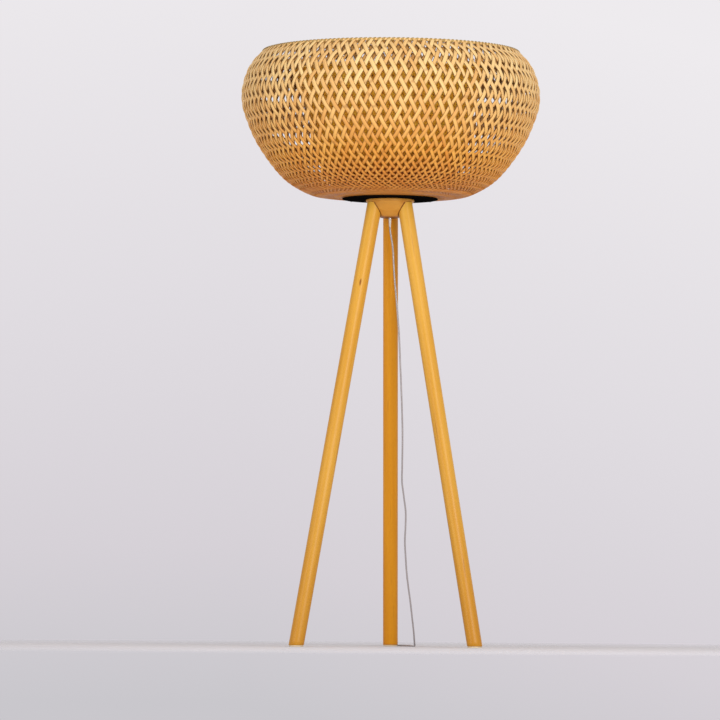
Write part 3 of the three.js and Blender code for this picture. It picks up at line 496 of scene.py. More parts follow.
outer_bamboo = bamboo_finish("outer_bamboo", (244, 216, 156), (212, 158, 90), (104, 58, 16), 0.35)
# The tucked ends' darker finish is partly their pithy side and partly painted shade behind the front strips.
pith_and_shade_bamboo = bamboo_finish("pith_and_shade_bamboo", (226, 178, 104), (146, 92, 36), (80, 42, 12), 0.4)
inner_bamboo = bamboo_finish("inner_bamboo", (255, 208, 70), (255, 180, 40), (224, 128, 22), 0.2)
binding_bamboo = bamboo_finish("binding_bamboo", (204, 176, 108), (148, 114, 58), (84, 56, 22), 0.5)
# The outer basket is painted darker and redder towards its bottom, darkest just above the foot: painted shade
# under the bowl.
deepen(outer_bamboo, 1.36, 1.57, (0.92, 0.65, 0.28))
deepen(outer_bamboo, 1.275, 1.36, (0.82, 0.68, 0.66))
# The inner basket turns more orange lower down, and below about 1.40 m it is painted much darker: painted
# shade deep between the two baskets.
deepen(inner_bamboo, 1.30, 1.56, (1.0, 0.88, 0.60))
deepen(inner_bamboo, 1.315, 1.40, (0.30, 0.13, 0.05))

# %% [markdown]
# The poles and hub wear a satin lacquer, and the knot sits on the left pole. The hub is painted darker
# at its lower rim as a painted shadow, and round its joints partly as glue and partly as painted shade.
# The poles are painted darker towards the floor, and the back pole deeper all over, both as painted shade.
# A painted mask could place these too, but heights and one known spot are enough.

# %% Wood finishes
def wood_finish(name, pale, deep, streak, contrast):
    values = {"Pale": srgb(*pale), "Deep": srgb(*deep), "Streak": srgb(*streak), "Contrast": contrast}
    lacquer = {"Specular_IOR_Level": 0.2, "Coat_Weight": 0.06, "Coat_Roughness": 0.35}
    return new_finish(name, grain_effect, "wood_place", values, (0.12, 0.0003), **lacquer)


front_wood = wood_finish("front_pole_wood", (222, 172, 72), (202, 142, 38), (140, 82, 22), 0.35)
# The back pole's own deeper, more saturated copy of the pole wood is painted shade, for the pole behind the
# hub.
shaded_back_wood = wood_finish("shaded_back_pole_wood", (226, 154, 22), (208, 132, 8), (130, 72, 10), 0.35)
hub_wood = wood_finish("hub_wood", (210, 152, 64), (188, 124, 42), (122, 70, 18), 0.45)
change_colour(
    front_wood, knot_effect, "wood_place",
    Spot=(0.3205, 0.1882, 1.06), Reach=(0.0035, 0.0035, 0.013), Dark=srgb(128, 66, 8),
)
# Both poles are painted darker towards the floor: painted shade, as less light reaches their feet.
deepen(front_wood, 0.0, 1.1, (0.76, 0.67, 0.45))
deepen(shaded_back_wood, 0.0, 1.1, (0.86, 0.84, 0.80))
# A thin dark band at the hub's bottom edge: a painted shadow.
deepen(hub_wood, 1.2005, 1.2045, (0.40, 0.28, 0.20))
# A dark line round each joint, painted partly as glue and partly as painted shade in the joint gap.
deepen(hub_wood, 1.6 * mm, 4.6 * mm, (0.26, 0.14, 0.08), "joint_place")

# %% [markdown]
# The plate is black powder coat, screws and tube are zinc, the holder's inside and the plug's blades are
# brass, the lamp holder is white moulding and the cord a clear, faintly yellowed vinyl.
# The opal bulb is off and looks like white porcelain, so a glossy surface with slight clouds does what traced
# glass would do at length.

# %% Finishes for the fittings
def moulding(name, colour, worn, grain, roughness, bump, **shader_values):
    values = {"Colour": srgb(*colour), "Worn": srgb(*worn), "Grain Scale": grain, "Roughness": roughness}
    return new_finish(name, moulded_effect, None, values, bump, **shader_values)


def metal(name, bright, dull, roughness):
    values = {"Colour": srgb(*bright), "Worn": srgb(*dull), "Roughness": roughness}
    return new_finish(name, metal_effect, None, values, (0.12, 0.0002), Metallic=1.0)


zinc = metal("zinc", (200, 202, 206), (158, 160, 166), 0.24)
brass = metal("brass", (226, 190, 110), (176, 140, 74), 0.22)
black_coat = moulding(
    "black_coat", (12, 11, 11), (26, 24, 22), 1800, 0.7, (0.3, 0.0004), Specular_IOR_Level=0.0
)
white_moulding = moulding("white_moulding", (233, 229, 220), (190, 184, 172), 2200, 0.34, (0.1, 0.0003))
black_moulding = moulding("black_moulding", (28, 28, 29), (74, 72, 70), 2000, 0.34, (0.12, 0.0003))
pale_rubber = moulding("pale_rubber", (206, 190, 160), (160, 150, 134), 1200, 0.7, (0.3, 0.0004))
clear_vinyl = moulding(
    "clear_vinyl", (146, 139, 141), (120, 113, 113), 900, 0.26, (0.08, 0.0003),
    Coat_Weight=0.5, Coat_Roughness=0.12,
)
clear_moulding = moulding(
    "clear_moulding", (204, 201, 197), (166, 160, 152), 1500, 0.3, (0.12, 0.0003),
    Coat_Weight=0.4, Coat_Roughness=0.15,
)
opal_glass = moulding(
    "opal_glass", (244, 240, 230), (222, 214, 198), 600, 0.12, (0.02, 0.0003),
    Coat_Weight=0.6, Coat_Roughness=0.05,
)
cord_curve.materials.append(clear_vinyl)
print("finishes:", len(bpy.data.materials))

# %% [markdown]
# A strip is a thin lens, a little crowned on its outer face, carried along a line, so that light runs along
# the crown as on real splints. A flat ribbon would be lighter, but it looks like paper where strips cross.
# Each set also keeps an unrolled map of its surface, a row for each strip, for whoever paints or bakes it.

# %% Strips from lines
strip_profile = np.array([(-0.5, -0.4), (-0.33, 0.5), (0.33, 0.5), (0.5, -0.4), (0.0, -0.5)])
profile_edge = np.array([1.0, 0.0, 0.0, 1.0, 0.0])


def unit(vectors):
    return vectors / np.linalg.norm(vectors, axis=-1, keepdims=True)


def sideways(lines, outward):
    return unit(np.cross(np.gradient(lines, axis=1), outward))


def unrolled_map(count, steps, sides):
    """Places on the map for each corner of the strips' faces, in their order."""
    i, j = np.meshgrid(np.arange(steps - 1), np.arange(sides), indexing="ij")
    corners = np.stack([i, j, i, j + 1, i + 1, j + 1, i + 1, j], -1).reshape(-1, 2) / (steps - 1, sides)
    ends = np.repeat([(0.003, 0.5), (0.997, 0.5)], sides, axis=0)
    row = np.vstack([corners * (0.98, 0.9) + (0.01, 0.05), ends])
    return (row + np.c_[np.zeros(count), np.arange(count)][:, None]) / (1, count)


def strips(name, lines, outward, width, thickness, tones, material):
    """Lays strips on lines [strip, step, xyz]. Width is a number or an array [strip, step]."""
    (count, steps, _), sides = lines.shape, len(strip_profile)
    per_strip = steps * sides
    beside = sideways(lines, outward)
    raised = np.cross(beside, unit(np.gradient(lines, axis=1)))
    across = np.broadcast_to(width, (count, steps))[..., None] * strip_profile[:, 0]
    points = lines[:, :, None] + beside[:, :, None] * across[..., None]
    points = points + raised[:, :, None] * (thickness * strip_profile[:, 1])[:, None]
    one = ring_faces(steps, sides, caps=True)
    faces = [[v + k * per_strip for v in face] for k in range(count) for face in one]
    piece = piece_from(name, points, faces, material)
    travelled = np.cumsum(np.linalg.norm(np.diff(lines, axis=1, prepend=lines[:, :1]), axis=-1), axis=1)
    own = np.zeros((count, steps, sides, 3))
    own[..., 0], own[..., 1] = travelled[..., None], across
    own[..., 2] = (np.arange(count) * 0.37)[:, None, None]
    keep(piece, "strip_place", own)
    keep(piece, "strip_tone", np.repeat(tones, per_strip))
    keep(piece, "strip_edge", np.tile(profile_edge, count * steps))
    places = unrolled_map(count, steps, sides).astype(np.float32)
    piece.data.uv_layers.new(name="OFBake").uv.foreach_set("vector", places.ravel())
    return piece


# %% [markdown]
# Both baskets are laid over a round form. Their outlines come from the same chosen points as the solids: how
# far out, as a share of the way to the widest place, and how high.

# %% Outlines of the baskets
plate_top, cane, rim_cane = 1255 * mm, 4 * mm, 5 * mm
foot_radius, inner_foot_radius, foot_height = 128 * mm, 112 * mm, plate_top + cane
rim_radius, rim_height = 357 * mm, plate_top + 415 * mm - rim_cane
mouth_radius, mouth_height = 265 * mm, plate_top + 360 * mm - cane
widest_radius = 415.5 * mm
outer_shares = [
    (0.20, 0.006), (0.37, 0.033), (0.61, 0.145), (0.845, 0.366), (0.975, 0.58), (1, 0.69),
    (0.985, 0.785), (0.934, 0.885), (0.868, 0.951),
]
inner_shares = [(0.05, 0.04), (0.25, 0.066), (0.43, 0.125), (0.535, 0.24), (0.655, 0.41), (0.81, 0.71)]


def shared_out(start, reach, end, shares):
    """Start, points at shares of the reach outwards and of the rise to the end, and end."""
    rise = end[1] - start[1]
    return [start, *((start[0] + out * reach, start[1] + up * rise) for out, up in shares), end]


def basket_outline(start, reach, end, shares):
    return evenly(smooth_line(shared_out(start, reach, end, shares), 40, 0), 1200)


foot, rim = (foot_radius, foot_height), (rim_radius, rim_height)
inner_foot, mouth = (inner_foot_radius, foot_height), (mouth_radius, mouth_height)
outer_outline = basket_outline(foot, widest_radius - foot_radius, rim, outer_shares)
inner_outline = basket_outline(inner_foot, mouth_radius - inner_foot_radius, mouth, inner_shares)
print(f"outlines: outer {length_of(outer_outline):.3f} m, inner {length_of(inner_outline):.3f} m")

# %% [markdown]
# A springy strip on a round body takes the straightest way it can, and then radius times the sine of its
# angle stays the same. So it lies nearly level on the flat bottom, within a limit, and gets steeper as the
# bowl widens. Higher up the weaver holds the strips upright by hand, and a short table gives the angle.
# The two sets cross every time they have turned by half the gap between two strips, and pass over and under
# in turn: by eights and then by threes on the tight bottom, and one by one on the open wall.
# Plain diagonals would make diamonds of one shape all over, which the eye spots at once.

# %% Weaving a basket
def strip_angles(profile, level_radius, most_degrees, held=()):
    """Angle from upright along an outline. Held gives (share of the height, degrees) where it is held."""
    free = np.arcsin(np.minimum(level_radius / profile[:, 0], 1))
    free = np.minimum(free, math.radians(most_degrees))
    if not held:
        return free
    rise = (profile[:, 1] - profile[0, 1]) / (profile[-1, 1] - profile[0, 1])
    heights, degrees = zip(*held)
    return np.where(rise < heights[0], free, np.radians(np.interp(rise, heights, degrees)))


def over_and_under(crossings, skips):
    """Half turns of the wave at each crossing. Skips gives (crossings in one go, up to which crossing)."""
    phase, start, begun = np.zeros(crossings + 2), 0, 0.0
    for together, end in [*skips, (1, crossings + 2)]:
        ahead = np.arange(start, min(end, crossings + 2)) - start
        phase[start : start + len(ahead)] = begun + (ahead + 0.5 * (together > 1)) / together
        begun, start = begun + (end - start) / together, end
    return phase


def woven_lines(profile, angle, count, per_crossing, swell, lean, skips=()):
    """Lines, outward directions and spacing of one set of strips. Lean is 1 or -1."""
    index, gap = np.arange(len(profile)), math.pi / count
    step = length_of(profile) / (len(profile) - 1)
    turned_by = np.r_[0, np.cumsum((np.tan(angle) / profile[:, 0])[:-1] * step)]
    crossings = math.floor(turned_by[-1] / gap)
    samples = np.arange(crossings * per_crossing + 1) * gap / per_crossing
    if turned_by[-1] - samples[-1] > 0.1 * gap:
        samples = np.append(samples, turned_by[-1])
    at, crossed = np.interp(samples, turned_by, index), samples / gap
    place = np.stack([np.interp(at, index, axis) for axis in profile.T], -1)
    along = unit(np.gradient(place, axis=0))
    off = np.stack([along[:, 1], -along[:, 0]], -1)
    half_turns = np.interp(crossed, np.arange(crossings + 2), over_and_under(crossings, skips))
    sharpness = np.interp(crossed, [0, skips[-1][1], skips[-1][1] + 2], [2.6, 1.5, 1.0]) if skips else 1.0
    wave = lean * np.clip(sharpness * np.cos(half_turns * math.pi), -1, 1)
    lift = np.minimum(swell, 0.14 * np.abs(np.gradient(at * step) * per_crossing))
    place = place + off * (wave * lift)[:, None]
    turn = ((np.arange(count) + 0.25) * 2 * gap)[:, None] + lean * samples
    spacing = 2 * gap * place[:, 0] * np.cos(np.interp(at, index, angle))
    return round_axis(turn, *place.T), round_axis(turn, *off.T), spacing


# %% [markdown]
# The outer basket has ninety-four strips each way, set wide apart. Near the hub they crowd, so they are
# shaved narrower there, and thin dark gaps stay between them.
# No two splints are alike: each is a little wider or narrower, paler or redder, and wanders a hair from its
# line.

# %% Outer basket
random = np.random.default_rng(7)
drift_knots = 9
outer_count, outer_width, outer_thickness, outer_swell = 94, 12.8 * mm, 3.2 * mm, 2.0 * mm
outer_skips = [(8, 24), (3, 30)]
outer_held = [(0.10, 34.1), (0.262, 27), (0.468, 26.2), (0.716, 27.5), (0.904, 23.5), (1, 22)]
outer_fill = [(1.238, 0.72), (1.255, 0.66), (1.28, 0.54), (1.40, 0.54)]
outer_angles = strip_angles(outer_outline, 158 * mm, 61, outer_held)


def basket_lines(drift, *woven):
    """Woven lines that wander sideways, each on its own, by about the drift."""
    lines, outward, spacing = woven_lines(*woven)
    count, steps, _ = lines.shape
    knots, at = random.normal(0, drift, (count, drift_knots)), np.linspace(0, drift_knots - 1, steps)
    wander = np.stack([np.interp(at, np.arange(drift_knots), row) for row in knots])
    return lines + sideways(lines, outward) * wander[..., None], outward, spacing


def basket_set(name, laid, width, fill, thickness, material, slot, *nodes):
    """Fill gives (height, most share of the spacing that a strip may fill) from the bottom up."""
    lines, outward, spacing = laid
    count = len(lines)
    each = random.normal(1, 0.09, (count, 1)).clip(0.8, 1.2)
    wide = np.minimum(width * each, np.interp(lines[..., 2], *zip(*fill)) * spacing)
    piece = strips(name, lines, outward, wide, thickness, random.beta(1.8, 1.6, count), material)
    print(f"{name}: {count} strips of {lines.shape[1]} points, {len(piece.data.polygons)} faces")
    return finish_piece(piece, slot, *nodes)


outer_laid = {
    way: basket_lines(
        0.5 * mm, outer_outline, outer_angles, outer_count, 4, outer_swell, lean, outer_skips
    )
    for way, lean in (("right", 1), ("left", -1))
}
for way, nodes in (("right", ["outer_shade"]), ("left", [])):
    basket_set(
        f"outer_strips_rising_{way}", outer_laid[way], outer_width, outer_fill, outer_thickness,
        outer_bamboo, "outer_weave", *nodes,
    )

# %% [markdown]
# At the rim each strip is bent round the hoop, and its end runs back down the inside between two neighbours.
# So the band under the rim is denser and a little untidy. The ends are painted darker, partly as their
# pithy side and partly as painted shade behind the front strips.
# They could be placed one by one. Here they follow the last stretch of the strips beside them, half a gap to
# the side.

# %% Tucked ends under the rim
def last_part(values, starts, count=22):
    """The last part of each line from its own start, with the same number of points in each."""
    index = np.arange(values.shape[1])
    at = np.linspace(starts, index[-1], count, axis=1)
    rows = [[np.interp(a, index, axis) for axis in line.T] for a, line in zip(at, values)]
    return np.swapaxes(rows, 1, 2)


for way, inward in (("right", 5.0 * mm), ("left", 7.5 * mm)):
    lines, outward, spacing = outer_laid[way]
    count, steps, _ = lines.shape
    starts = steps - 1 - random.uniform(7.0, 13.0, count)
    aside = sideways(lines, outward) * (spacing * random.normal(0.5, 0.12, (count, 1)))[..., None]
    end_lines = last_part(lines + aside - outward * inward, starts)
    wide, tones = random.uniform(9 * mm, 12.5 * mm, (count, 1)), random.beta(1.4, 2.2, count)
    piece = strips(
        f"tucked_ends_rising_{way}", end_lines, last_part(outward, starts), wide, 1.2 * mm, tones, pith_and_shade_bamboo
    )
    finish_piece(piece, "outer_weave")

# %% [markdown]
# The inner basket is narrower and almost closed, with broader strips, and hides the bulb. It is stained
# deeper, and shows as orange through the outer weave.

# %% Inner basket
inner_count, inner_width, inner_thickness, inner_swell = 84, 14 * mm, 1.0 * mm, 0.7 * mm
inner_angles = strip_angles(inner_outline, 120 * mm, 46)
for way, lean, nodes in (("right", 1, ["inner_shade"]), ("left", -1, [])):
    laid = basket_lines(0.3 * mm, inner_outline, inner_angles, inner_count, 3, inner_swell, lean)
    basket_set(
        f"inner_strips_rising_{way}", laid, inner_width, [(1.2, 0.94), (1.7, 0.94)], inner_thickness,
        inner_bamboo, "inner_weave", *nodes,
    )

# %% [markdown]
# Each basket is bound off on hoops of cane, and at the rims a thin splint is wound round hoop and strip ends,
# which shows as short slanting strokes.
# A ring primitive could be the hoop. The winding is one more strip whose line circles the hoop's section, so
# it really lies on it.

# %% Hoops and their winding
def hoop_piece(name, radius, section, height, material, sides=12):
    steps = max(96, round(radius / (2.4 * mm)))
    turn, slope = full_turn(steps)[:, None], full_turn(sides)
    points = round_axis(turn, radius + section * np.cos(slope), height + section * np.sin(slope))
    piece = piece_from(name, points, ring_faces(steps, sides, wrap=True), material)
    own = np.zeros((steps, sides, 3))
    own[..., 0], own[..., 1] = np.abs(turn - math.pi) * radius, section * np.abs(slope - math.pi)
    keep(piece, "strip_place", own)
    keep(piece, "strip_tone", np.full(steps * sides, 0.45))
    keep(piece, "strip_edge", np.zeros(steps * sides))
    return piece


def winding(name, radius, section, height, pitch, width, material):
    turns = round(2 * math.pi * radius / pitch)
    way = np.linspace(0, 2 * math.pi * (1 - 0.3 / turns), turns * 12)
    off = round_axis(way, np.cos(way * turns), np.sin(way * turns))
    line = round_axis(way, radius, height) + off * (section + 0.15 * mm)
    return strips(name, line[None], off[None], width, 0.7 * mm, [0.55], material)


hoops = [
    ("rim_cane", rim_radius, rim_cane * 0.86, rim_height, outer_bamboo, "outer_weave", "rim_hoop"),
    ("foot_cane", foot_radius, cane, foot_height, outer_bamboo, "outer_weave", "base_hoop"),
    ("mouth_cane", mouth_radius, cane, mouth_height, inner_bamboo, "inner_weave", "inner_rim_hoop"),
    ("inner_foot_cane", inner_foot_radius, cane, foot_height, inner_bamboo, "inner_weave", "inner_base_hoop"),
]
for *hoop, slot, node_name in hoops:
    finish_piece(hoop_piece(*hoop), slot, node_name)
rim_winding = winding("rim_winding", rim_radius, rim_cane, rim_height, 13 * mm, 5.5 * mm, binding_bamboo)
mouth_winding = winding("mouth_winding", mouth_radius, cane, mouth_height, 12 * mm, 5 * mm, inner_bamboo)
finish_piece(rim_winding, "outer_weave")
finish_piece(mouth_winding, "inner_weave")
print("windings:", len(rim_winding.data.polygons), len(mouth_winding.data.polygons), "faces")

# %% [markdown]
# A turned piece is an outline carried round an axis, as a lathe does it: hub, plate, pads and lamp holder.
# Edges keep a small round, because a real edge catches a line of light.
# A flute, as on the ring of a lamp holder, is a small wave of the radius with the angle.

# %% Turned pieces
def bend(a, b, c, t):
    """Points of a curve that leaves a towards b and comes to c from b."""
    return (1 - t) ** 2 * np.asarray(a) + 2 * t * (1 - t) * np.asarray(b) + t**2 * np.asarray(c)


def rounded(points, size, steps=4):
    """An open outline with its inner corners rounded off."""
    p, t = np.asarray(points, float), np.linspace(0, 1, steps)[:, None]
    found = [p[:1]]
    for before, here, after in zip(p[:-2], p[1:-1], p[2:]):
        back, forward = before - here, after - here
        cut = min(size, np.linalg.norm(back) / 2.2, np.linalg.norm(forward) / 2.2)
        found.append(bend(here + unit(back) * cut, here, here + unit(forward) * cut, t))
    return np.vstack([*found, p[-1:]])


def turned(name, outline, base, material, steps=96, centre=(0, 0), closed=False, flutes=None):
    """An outline of (radius, height above the base), in millimetres, carried round. The base and the
    centre are in metres. Flutes gives their number and depth."""
    reach, height = np.array(outline, float).T[:, :, None] * mm
    turn = full_turn(steps)
    if flutes:
        number, depth = flutes
        waves = depth * (0.5 + 0.5 * np.cos(turn * number))
        reach = reach - np.where(reach >= reach.max() - 2 * mm, waves, 0)
    points = round_axis(turn, reach, height) + (*centre, base)
    faces = ring_faces(len(points), steps, wrap=closed, caps=not closed)
    return piece_from(name, points, faces, material, corner=30, mend=True)


# %% [markdown]
# The poles lean outwards from the hub to the floor. Each is a straight round bar whose foot is sawn level and
# sanded at the edge.
# A cylinder primitive would stand on its corner. Here the last two rings of points are brought to the level
# of the saw cut.

# %% Poles
bowl_top, stand_height = 1244 * mm, 1252 * mm
pole_radius, foot_circle, top_circle = 21 * mm, 286 * mm, 46 * mm
pad_thickness, seat_gap, broken_edge = 4 * mm, 0.3 * mm, 1.3 * mm
lean = math.atan((foot_circle - top_circle) / stand_height)
sin_lean, cos_lean = math.sin(lean), math.cos(lean)
socket_height = bowl_top - pole_radius * sin_lean
pole_top = np.array([foot_circle - socket_height * math.tan(lean), 0, socket_height])
across_side_down = np.array([(cos_lean, 0, sin_lean), (0, 1, 0), (sin_lean, 0, -cos_lean)])
pole_angles = {"front_right": -math.pi / 6, "back": math.pi / 2, "front_left": math.pi * 7 / 6}


def spun(points, angle):
    """Points turned about the lamp's own axis."""
    c, s = math.cos(angle), math.sin(angle)
    return np.asarray(points) @ [(c, s, 0), (-s, c, 0), (0, 0, 1)]


def leaning(own, angle):
    """Points that are given round a pole's own axis, from its top down, put in their place."""
    return spun(own @ across_side_down + pole_top, angle)


def pole_piece(name, angle, grain_start, material, sides=48):
    length, turn = (socket_height - pad_thickness) / cos_lean, full_turn(sides)
    rings = [round_axis(turn, pole_radius, at) for at in np.linspace(seat_gap, length - pole_radius / 2, 40)]
    for level, drawn in ((pad_thickness + broken_edge, 0), (pad_thickness, broken_edge)):
        cut = round_axis(turn, pole_radius - drawn)
        cut[:, 2] = (socket_height + cut[:, 0] * sin_lean - level) / cos_lean
        rings.append(cut)
    own = np.array(rings)
    faces = ring_faces(len(own), sides, caps=True)
    piece = piece_from(name, leaning(own, angle), faces, material, corner=50)
    keep(piece, "wood_place", own + grain_start)
    return piece


pad_outline = rounded([(0, 0), (20, 0), (20, 3.9), (0, 3.9)], 1.2)
for k, (where, angle) in enumerate(pole_angles.items()):
    wood = shaded_back_wood if where == "back" else front_wood
    pole = pole_piece(f"pole_{where}", angle, np.array([0.31, 0.17, 0.83]) * (3 - k), wood)
    finish_piece(pole, "pole_wood", f"leg_{where}")
    pad_centre = round_axis(angle, foot_circle - pad_thickness * math.tan(lean))[:2]
    pad = turned(f"pad_{where}", pad_outline, 0, pale_rubber, 48, pad_centre)
    finish_piece(pad, "foot_rubber", f"foot_pad_{where}")
print(f"poles lean {math.degrees(lean):.1f} degrees, {len(pole.data.polygons)} faces each")

# %% [markdown]
# The hub is a small turned bowl of the same wood with a flange on top, and a dark joint line curves round
# each pole where it goes in.
# The line could be painted. Here three bars, a hair thicker than the poles, are cut out of the block, and
# each point keeps its distance from the nearest pole. The wood is darkened there, partly as glue and
# dust and partly as painted shade in the joint gap.

# %% Hub
hub_bottom, hub_depth, joint_gap = 1200 * mm, 52 * mm, 1.8 * mm
tube_hole = 5.3
bowl = shared_out((21, 0), 43, (64, 44), [(0.26, 0.08), (0.52, 0.27), (0.76, 0.52), (0.93, 0.80)])
flange = rounded([(64, 44), (67.5, 45), (67.5, 52), (tube_hole, 52)], 2.2, 5)
hub_outline = [(11.5, 6.5), (11.5, 0), (19, 0), *smooth_line(bowl, 6, 0.5)[1:-1], *flange, (tube_hole, 6.5)]
hub = turned("turned_hub", hub_outline, hub_bottom, hub_wood, closed=True)


def cut_from(piece, cutters):
    """Takes the cutters' shapes out of a piece, and throws the cutters away."""
    for cutter in cutters:
        tool = piece.modifiers.new("cut", "BOOLEAN")
        tool.operation, tool.solver, tool.object = "DIFFERENCE", "EXACT", cutter
    bpy.context.view_layer.update()
    cut_mesh = bpy.data.meshes.new_from_object(piece.evaluated_get(bpy.context.evaluated_depsgraph_get()))
    piece.modifiers.clear()
    piece.data = cut_mesh
    for cutter in cutters:
        bpy.data.objects.remove(cutter)
    cut_mesh.polygons.foreach_set("use_smooth", [True] * len(cut_mesh.polygons))
    cut_mesh.set_sharp_from_angle(angle=math.radians(35))


def socket_cutter(angle, sides=64):
    points = round_axis(full_turn(sides), pole_radius + joint_gap, np.array([[0], [2 * hub_depth]]))
    return piece_from("socket", leaning(points, angle), ring_faces(2, sides, caps=True))


def from_axis(points, angle):
    down = across_side_down[2]
    return np.linalg.norm(np.cross(points - spun(pole_top, angle), spun(down, angle)), axis=1)


cut_from(hub, [socket_cutter(angle) for angle in pole_angles.values()])
hub_points = np.array([v.co for v in hub.data.vertices])
from_pole = np.min([from_axis(hub_points, angle) for angle in pole_angles.values()], axis=0) - pole_radius
from_joint = np.where(hub_points[:, 2] < bowl_top - 0.5 * mm, from_pole, 1.0)
keep(hub, "wood_place", hub_points[:, [1, 2, 0]] + (0.2, 0.5, 0.9))
keep(hub, "joint_place", from_joint[:, None] * (0, 0, 1))
finish_piece(hub, "pole_wood", "hub")
print("hub:", len(hub.data.polygons), "faces")

# %% [markdown]
# The plate under the baskets is thin pressed steel in black powder coat. Only its edge shows from the front.
# It is turned like the hub, with a rolled edge.

# %% Base plate
plate_bottom = plate_top - 3 * mm
plate_edge = rounded([(60, 0), (134, 0), (134, 3), (60, 3)], 1.1)
plate_outline = [(tube_hole, 0), *plate_edge, (tube_hole, 3)]
plate = turned("pressed_plate", plate_outline, plate_bottom, black_coat, 128, closed=True)
finish_piece(plate, "black_steel", "base_plate")

# %% [markdown]
# Screws hold the plate: three into the hub, and small ones from below into the foot hoops. A round head with
# a cross recess tells a screw from a nail at once.
# It could be cut out. Here the head's height simply drops inside the cross.

# %% Screws
def screw_piece(name, seat, up, sizes, material, spokes=32):
    """A screw with its head's underside at the seat. Up is 1 or -1. The sizes are the head's radius and
    height and the shank's radius and length, in millimetres."""
    head_radius, head_height, shank_radius, length = np.array(sizes) * mm
    rings = [(shank_radius * 0.3, -length), (shank_radius, -length + 2 * shank_radius)]
    rings += [(shank_radius, -0.01 * mm), (head_radius, 0), (head_radius, head_height * 0.35)]
    for share in (0.97, 0.9, 0.72, 0.6, 0.5, 0.38, 0.26, 0.14, 0.05):
        rings.append((head_radius * share, head_height * math.sqrt(1 - (share * 0.8) ** 2)))
    reach, height = np.array(rings).T[:, :, None]
    points = round_axis(full_turn(spokes), reach, height)
    cross = np.abs(points[..., :2]).min(-1) < 0.16 * head_radius
    cross &= (reach < 0.62 * head_radius) & (height > 0.5 * head_height)
    points[..., 2] = up * (height - 0.45 * head_height * cross)
    faces = ring_faces(len(rings), spokes, caps=True, flip=up < 0)
    return piece_from(name, points + seat, faces, material, corner=35)


on_plate = (plate_top, 1, (4, 2, 2, 24), zinc)
below_plate = (plate_bottom, -1, (3, 1.6, 1.5, 8.5), black_coat)
screw_rings = [
    ("wood_screw", "plate_screw", "zinc_steel", 42 * mm, 0.5, *on_plate),
    ("black_hoop_screw", "hoop_screw", "black_steel", foot_radius, 0.5, *below_plate),
    ("black_inner_hoop_screw", "inner_hoop_screw", "black_steel", inner_foot_radius, 0, *below_plate),
]
for name, node_name, slot, radius, share, level, up, sizes, finish in screw_rings:
    for i in range(3):
        seat = round_axis(math.pi / 2 + (i + share) * 2 * math.pi / 3, radius, level)
        piece = screw_piece(f"{name}_{i + 1}", seat, up, sizes, finish)
        finish_piece(piece, slot, f"{node_name}_{i + 1}")

# %% [markdown]
# The lamp holder is the usual moulded one: a cap on the threaded tube, a shell with the brass thread inside,
# and a fluted ring for fingers. It shows from above, round the foot of the bulb.
# Its outlines are in millimetres above the plate.

# %% Lamp holder
cap_outline = [(tube_hole, 6.5), (18, 6.5), (20, 8.9), (20, 21.5), (19.3, 21.9), (19.3, 24.5), (18, 24.5)]
cap_outline = [*rounded(cap_outline, 0.8), (18, 8.5), (tube_hole, 8.5)]
thread_steps = [(20 - 0.9 * (k % 2), 35.5 + 1.5 * k) for k in range(18)]
shell_outline = [*rounded([(18, 24.5), (20, 24.5), (20, 34.5)], 0.4), *thread_steps]
shell_outline += [(19.2, 62), (18.8, 62.5), (18, 62.5)]
ring_outline = [(20.3, 44.5), (20.3, 43.5), (28, 43.5), (28, 50.5), (20.3, 50.5), (20.3, 44.51)]
holder_parts = [
    ("holder_end_cap", "holder_cap", cap_outline, 96, None),
    ("holder_thread_shell", "holder_shell", shell_outline, 96, None),
    ("shade_ring", "holder_ring", rounded(ring_outline, 0.8), 192, (32, 0.9 * mm)),
]
for name, node_name, outline, steps, flutes in holder_parts:
    piece = turned(name, outline, plate_top, white_moulding, steps, closed=True, flutes=flutes)
    finish_piece(piece, "white_plastic", node_name)

# %% [markdown]
# The bulb is an opal globe on a short neck. It could be a plain sphere. Here the neck's flank swings out in
# one curve and runs into a quarter circle, as glass does.

# %% Bulb
globe_radius, globe_centre = 30, 99.8
flank = [(13, 51.8), (13, 66.8), (globe_radius, 84.8), (globe_radius, globe_centre)]
t = np.linspace(0, 1, 16)[:, None]
flank = (1 - t) * bend(*flank[:3], t) + t * bend(*flank[1:], t)
over = np.linspace(0, math.pi / 2, 16)[1:]
crown = np.stack([globe_radius * np.cos(over), globe_centre + globe_radius * np.sin(over)], -1)
globe = turned("opal_globe", [*flank, *crown], plate_top, opal_glass, 72)
finish_piece(globe, "bulb_glass", "bulb_globe")
print(f"bulb top at {plate_top + (globe_centre + globe_radius) * mm:.4f} m")

# %% [markdown]
# Where the cord comes out of the tube it passes through a soft tapered relief, which keeps it from kinking.
# Each groove is a pair of steps in the outline.

# %% Cord relief
relief_top, relief_length, relief_grooves = 1198.7, 22, 6
relief_outline = [(1, relief_top), (4, relief_top)]
for k in range(relief_grooves):
    share = (k + 0.6) / (relief_grooves + 0.4)
    reach, level = 4 - 1.1 * share, relief_top - relief_length * share
    relief_outline += [(reach, level + 1), (reach - 0.55, level + 0.6)]
    relief_outline += [(reach - 0.55, level - 0.2), (reach, level - 0.6)]
relief_outline += [(2.9, relief_top - relief_length), (1, relief_top - relief_length)]
relief = turned("cord_relief_sleeve", relief_outline, 0, clear_moulding, 48)
finish_piece(relief, "clear_plastic", "cord_relief")

# %% [markdown]
# The switch and the plug are moulded bodies that narrow towards the cord, with rounded edges. A plan with
# straight flanks and drawn-in ends is laid on several levels, and the rings are joined.

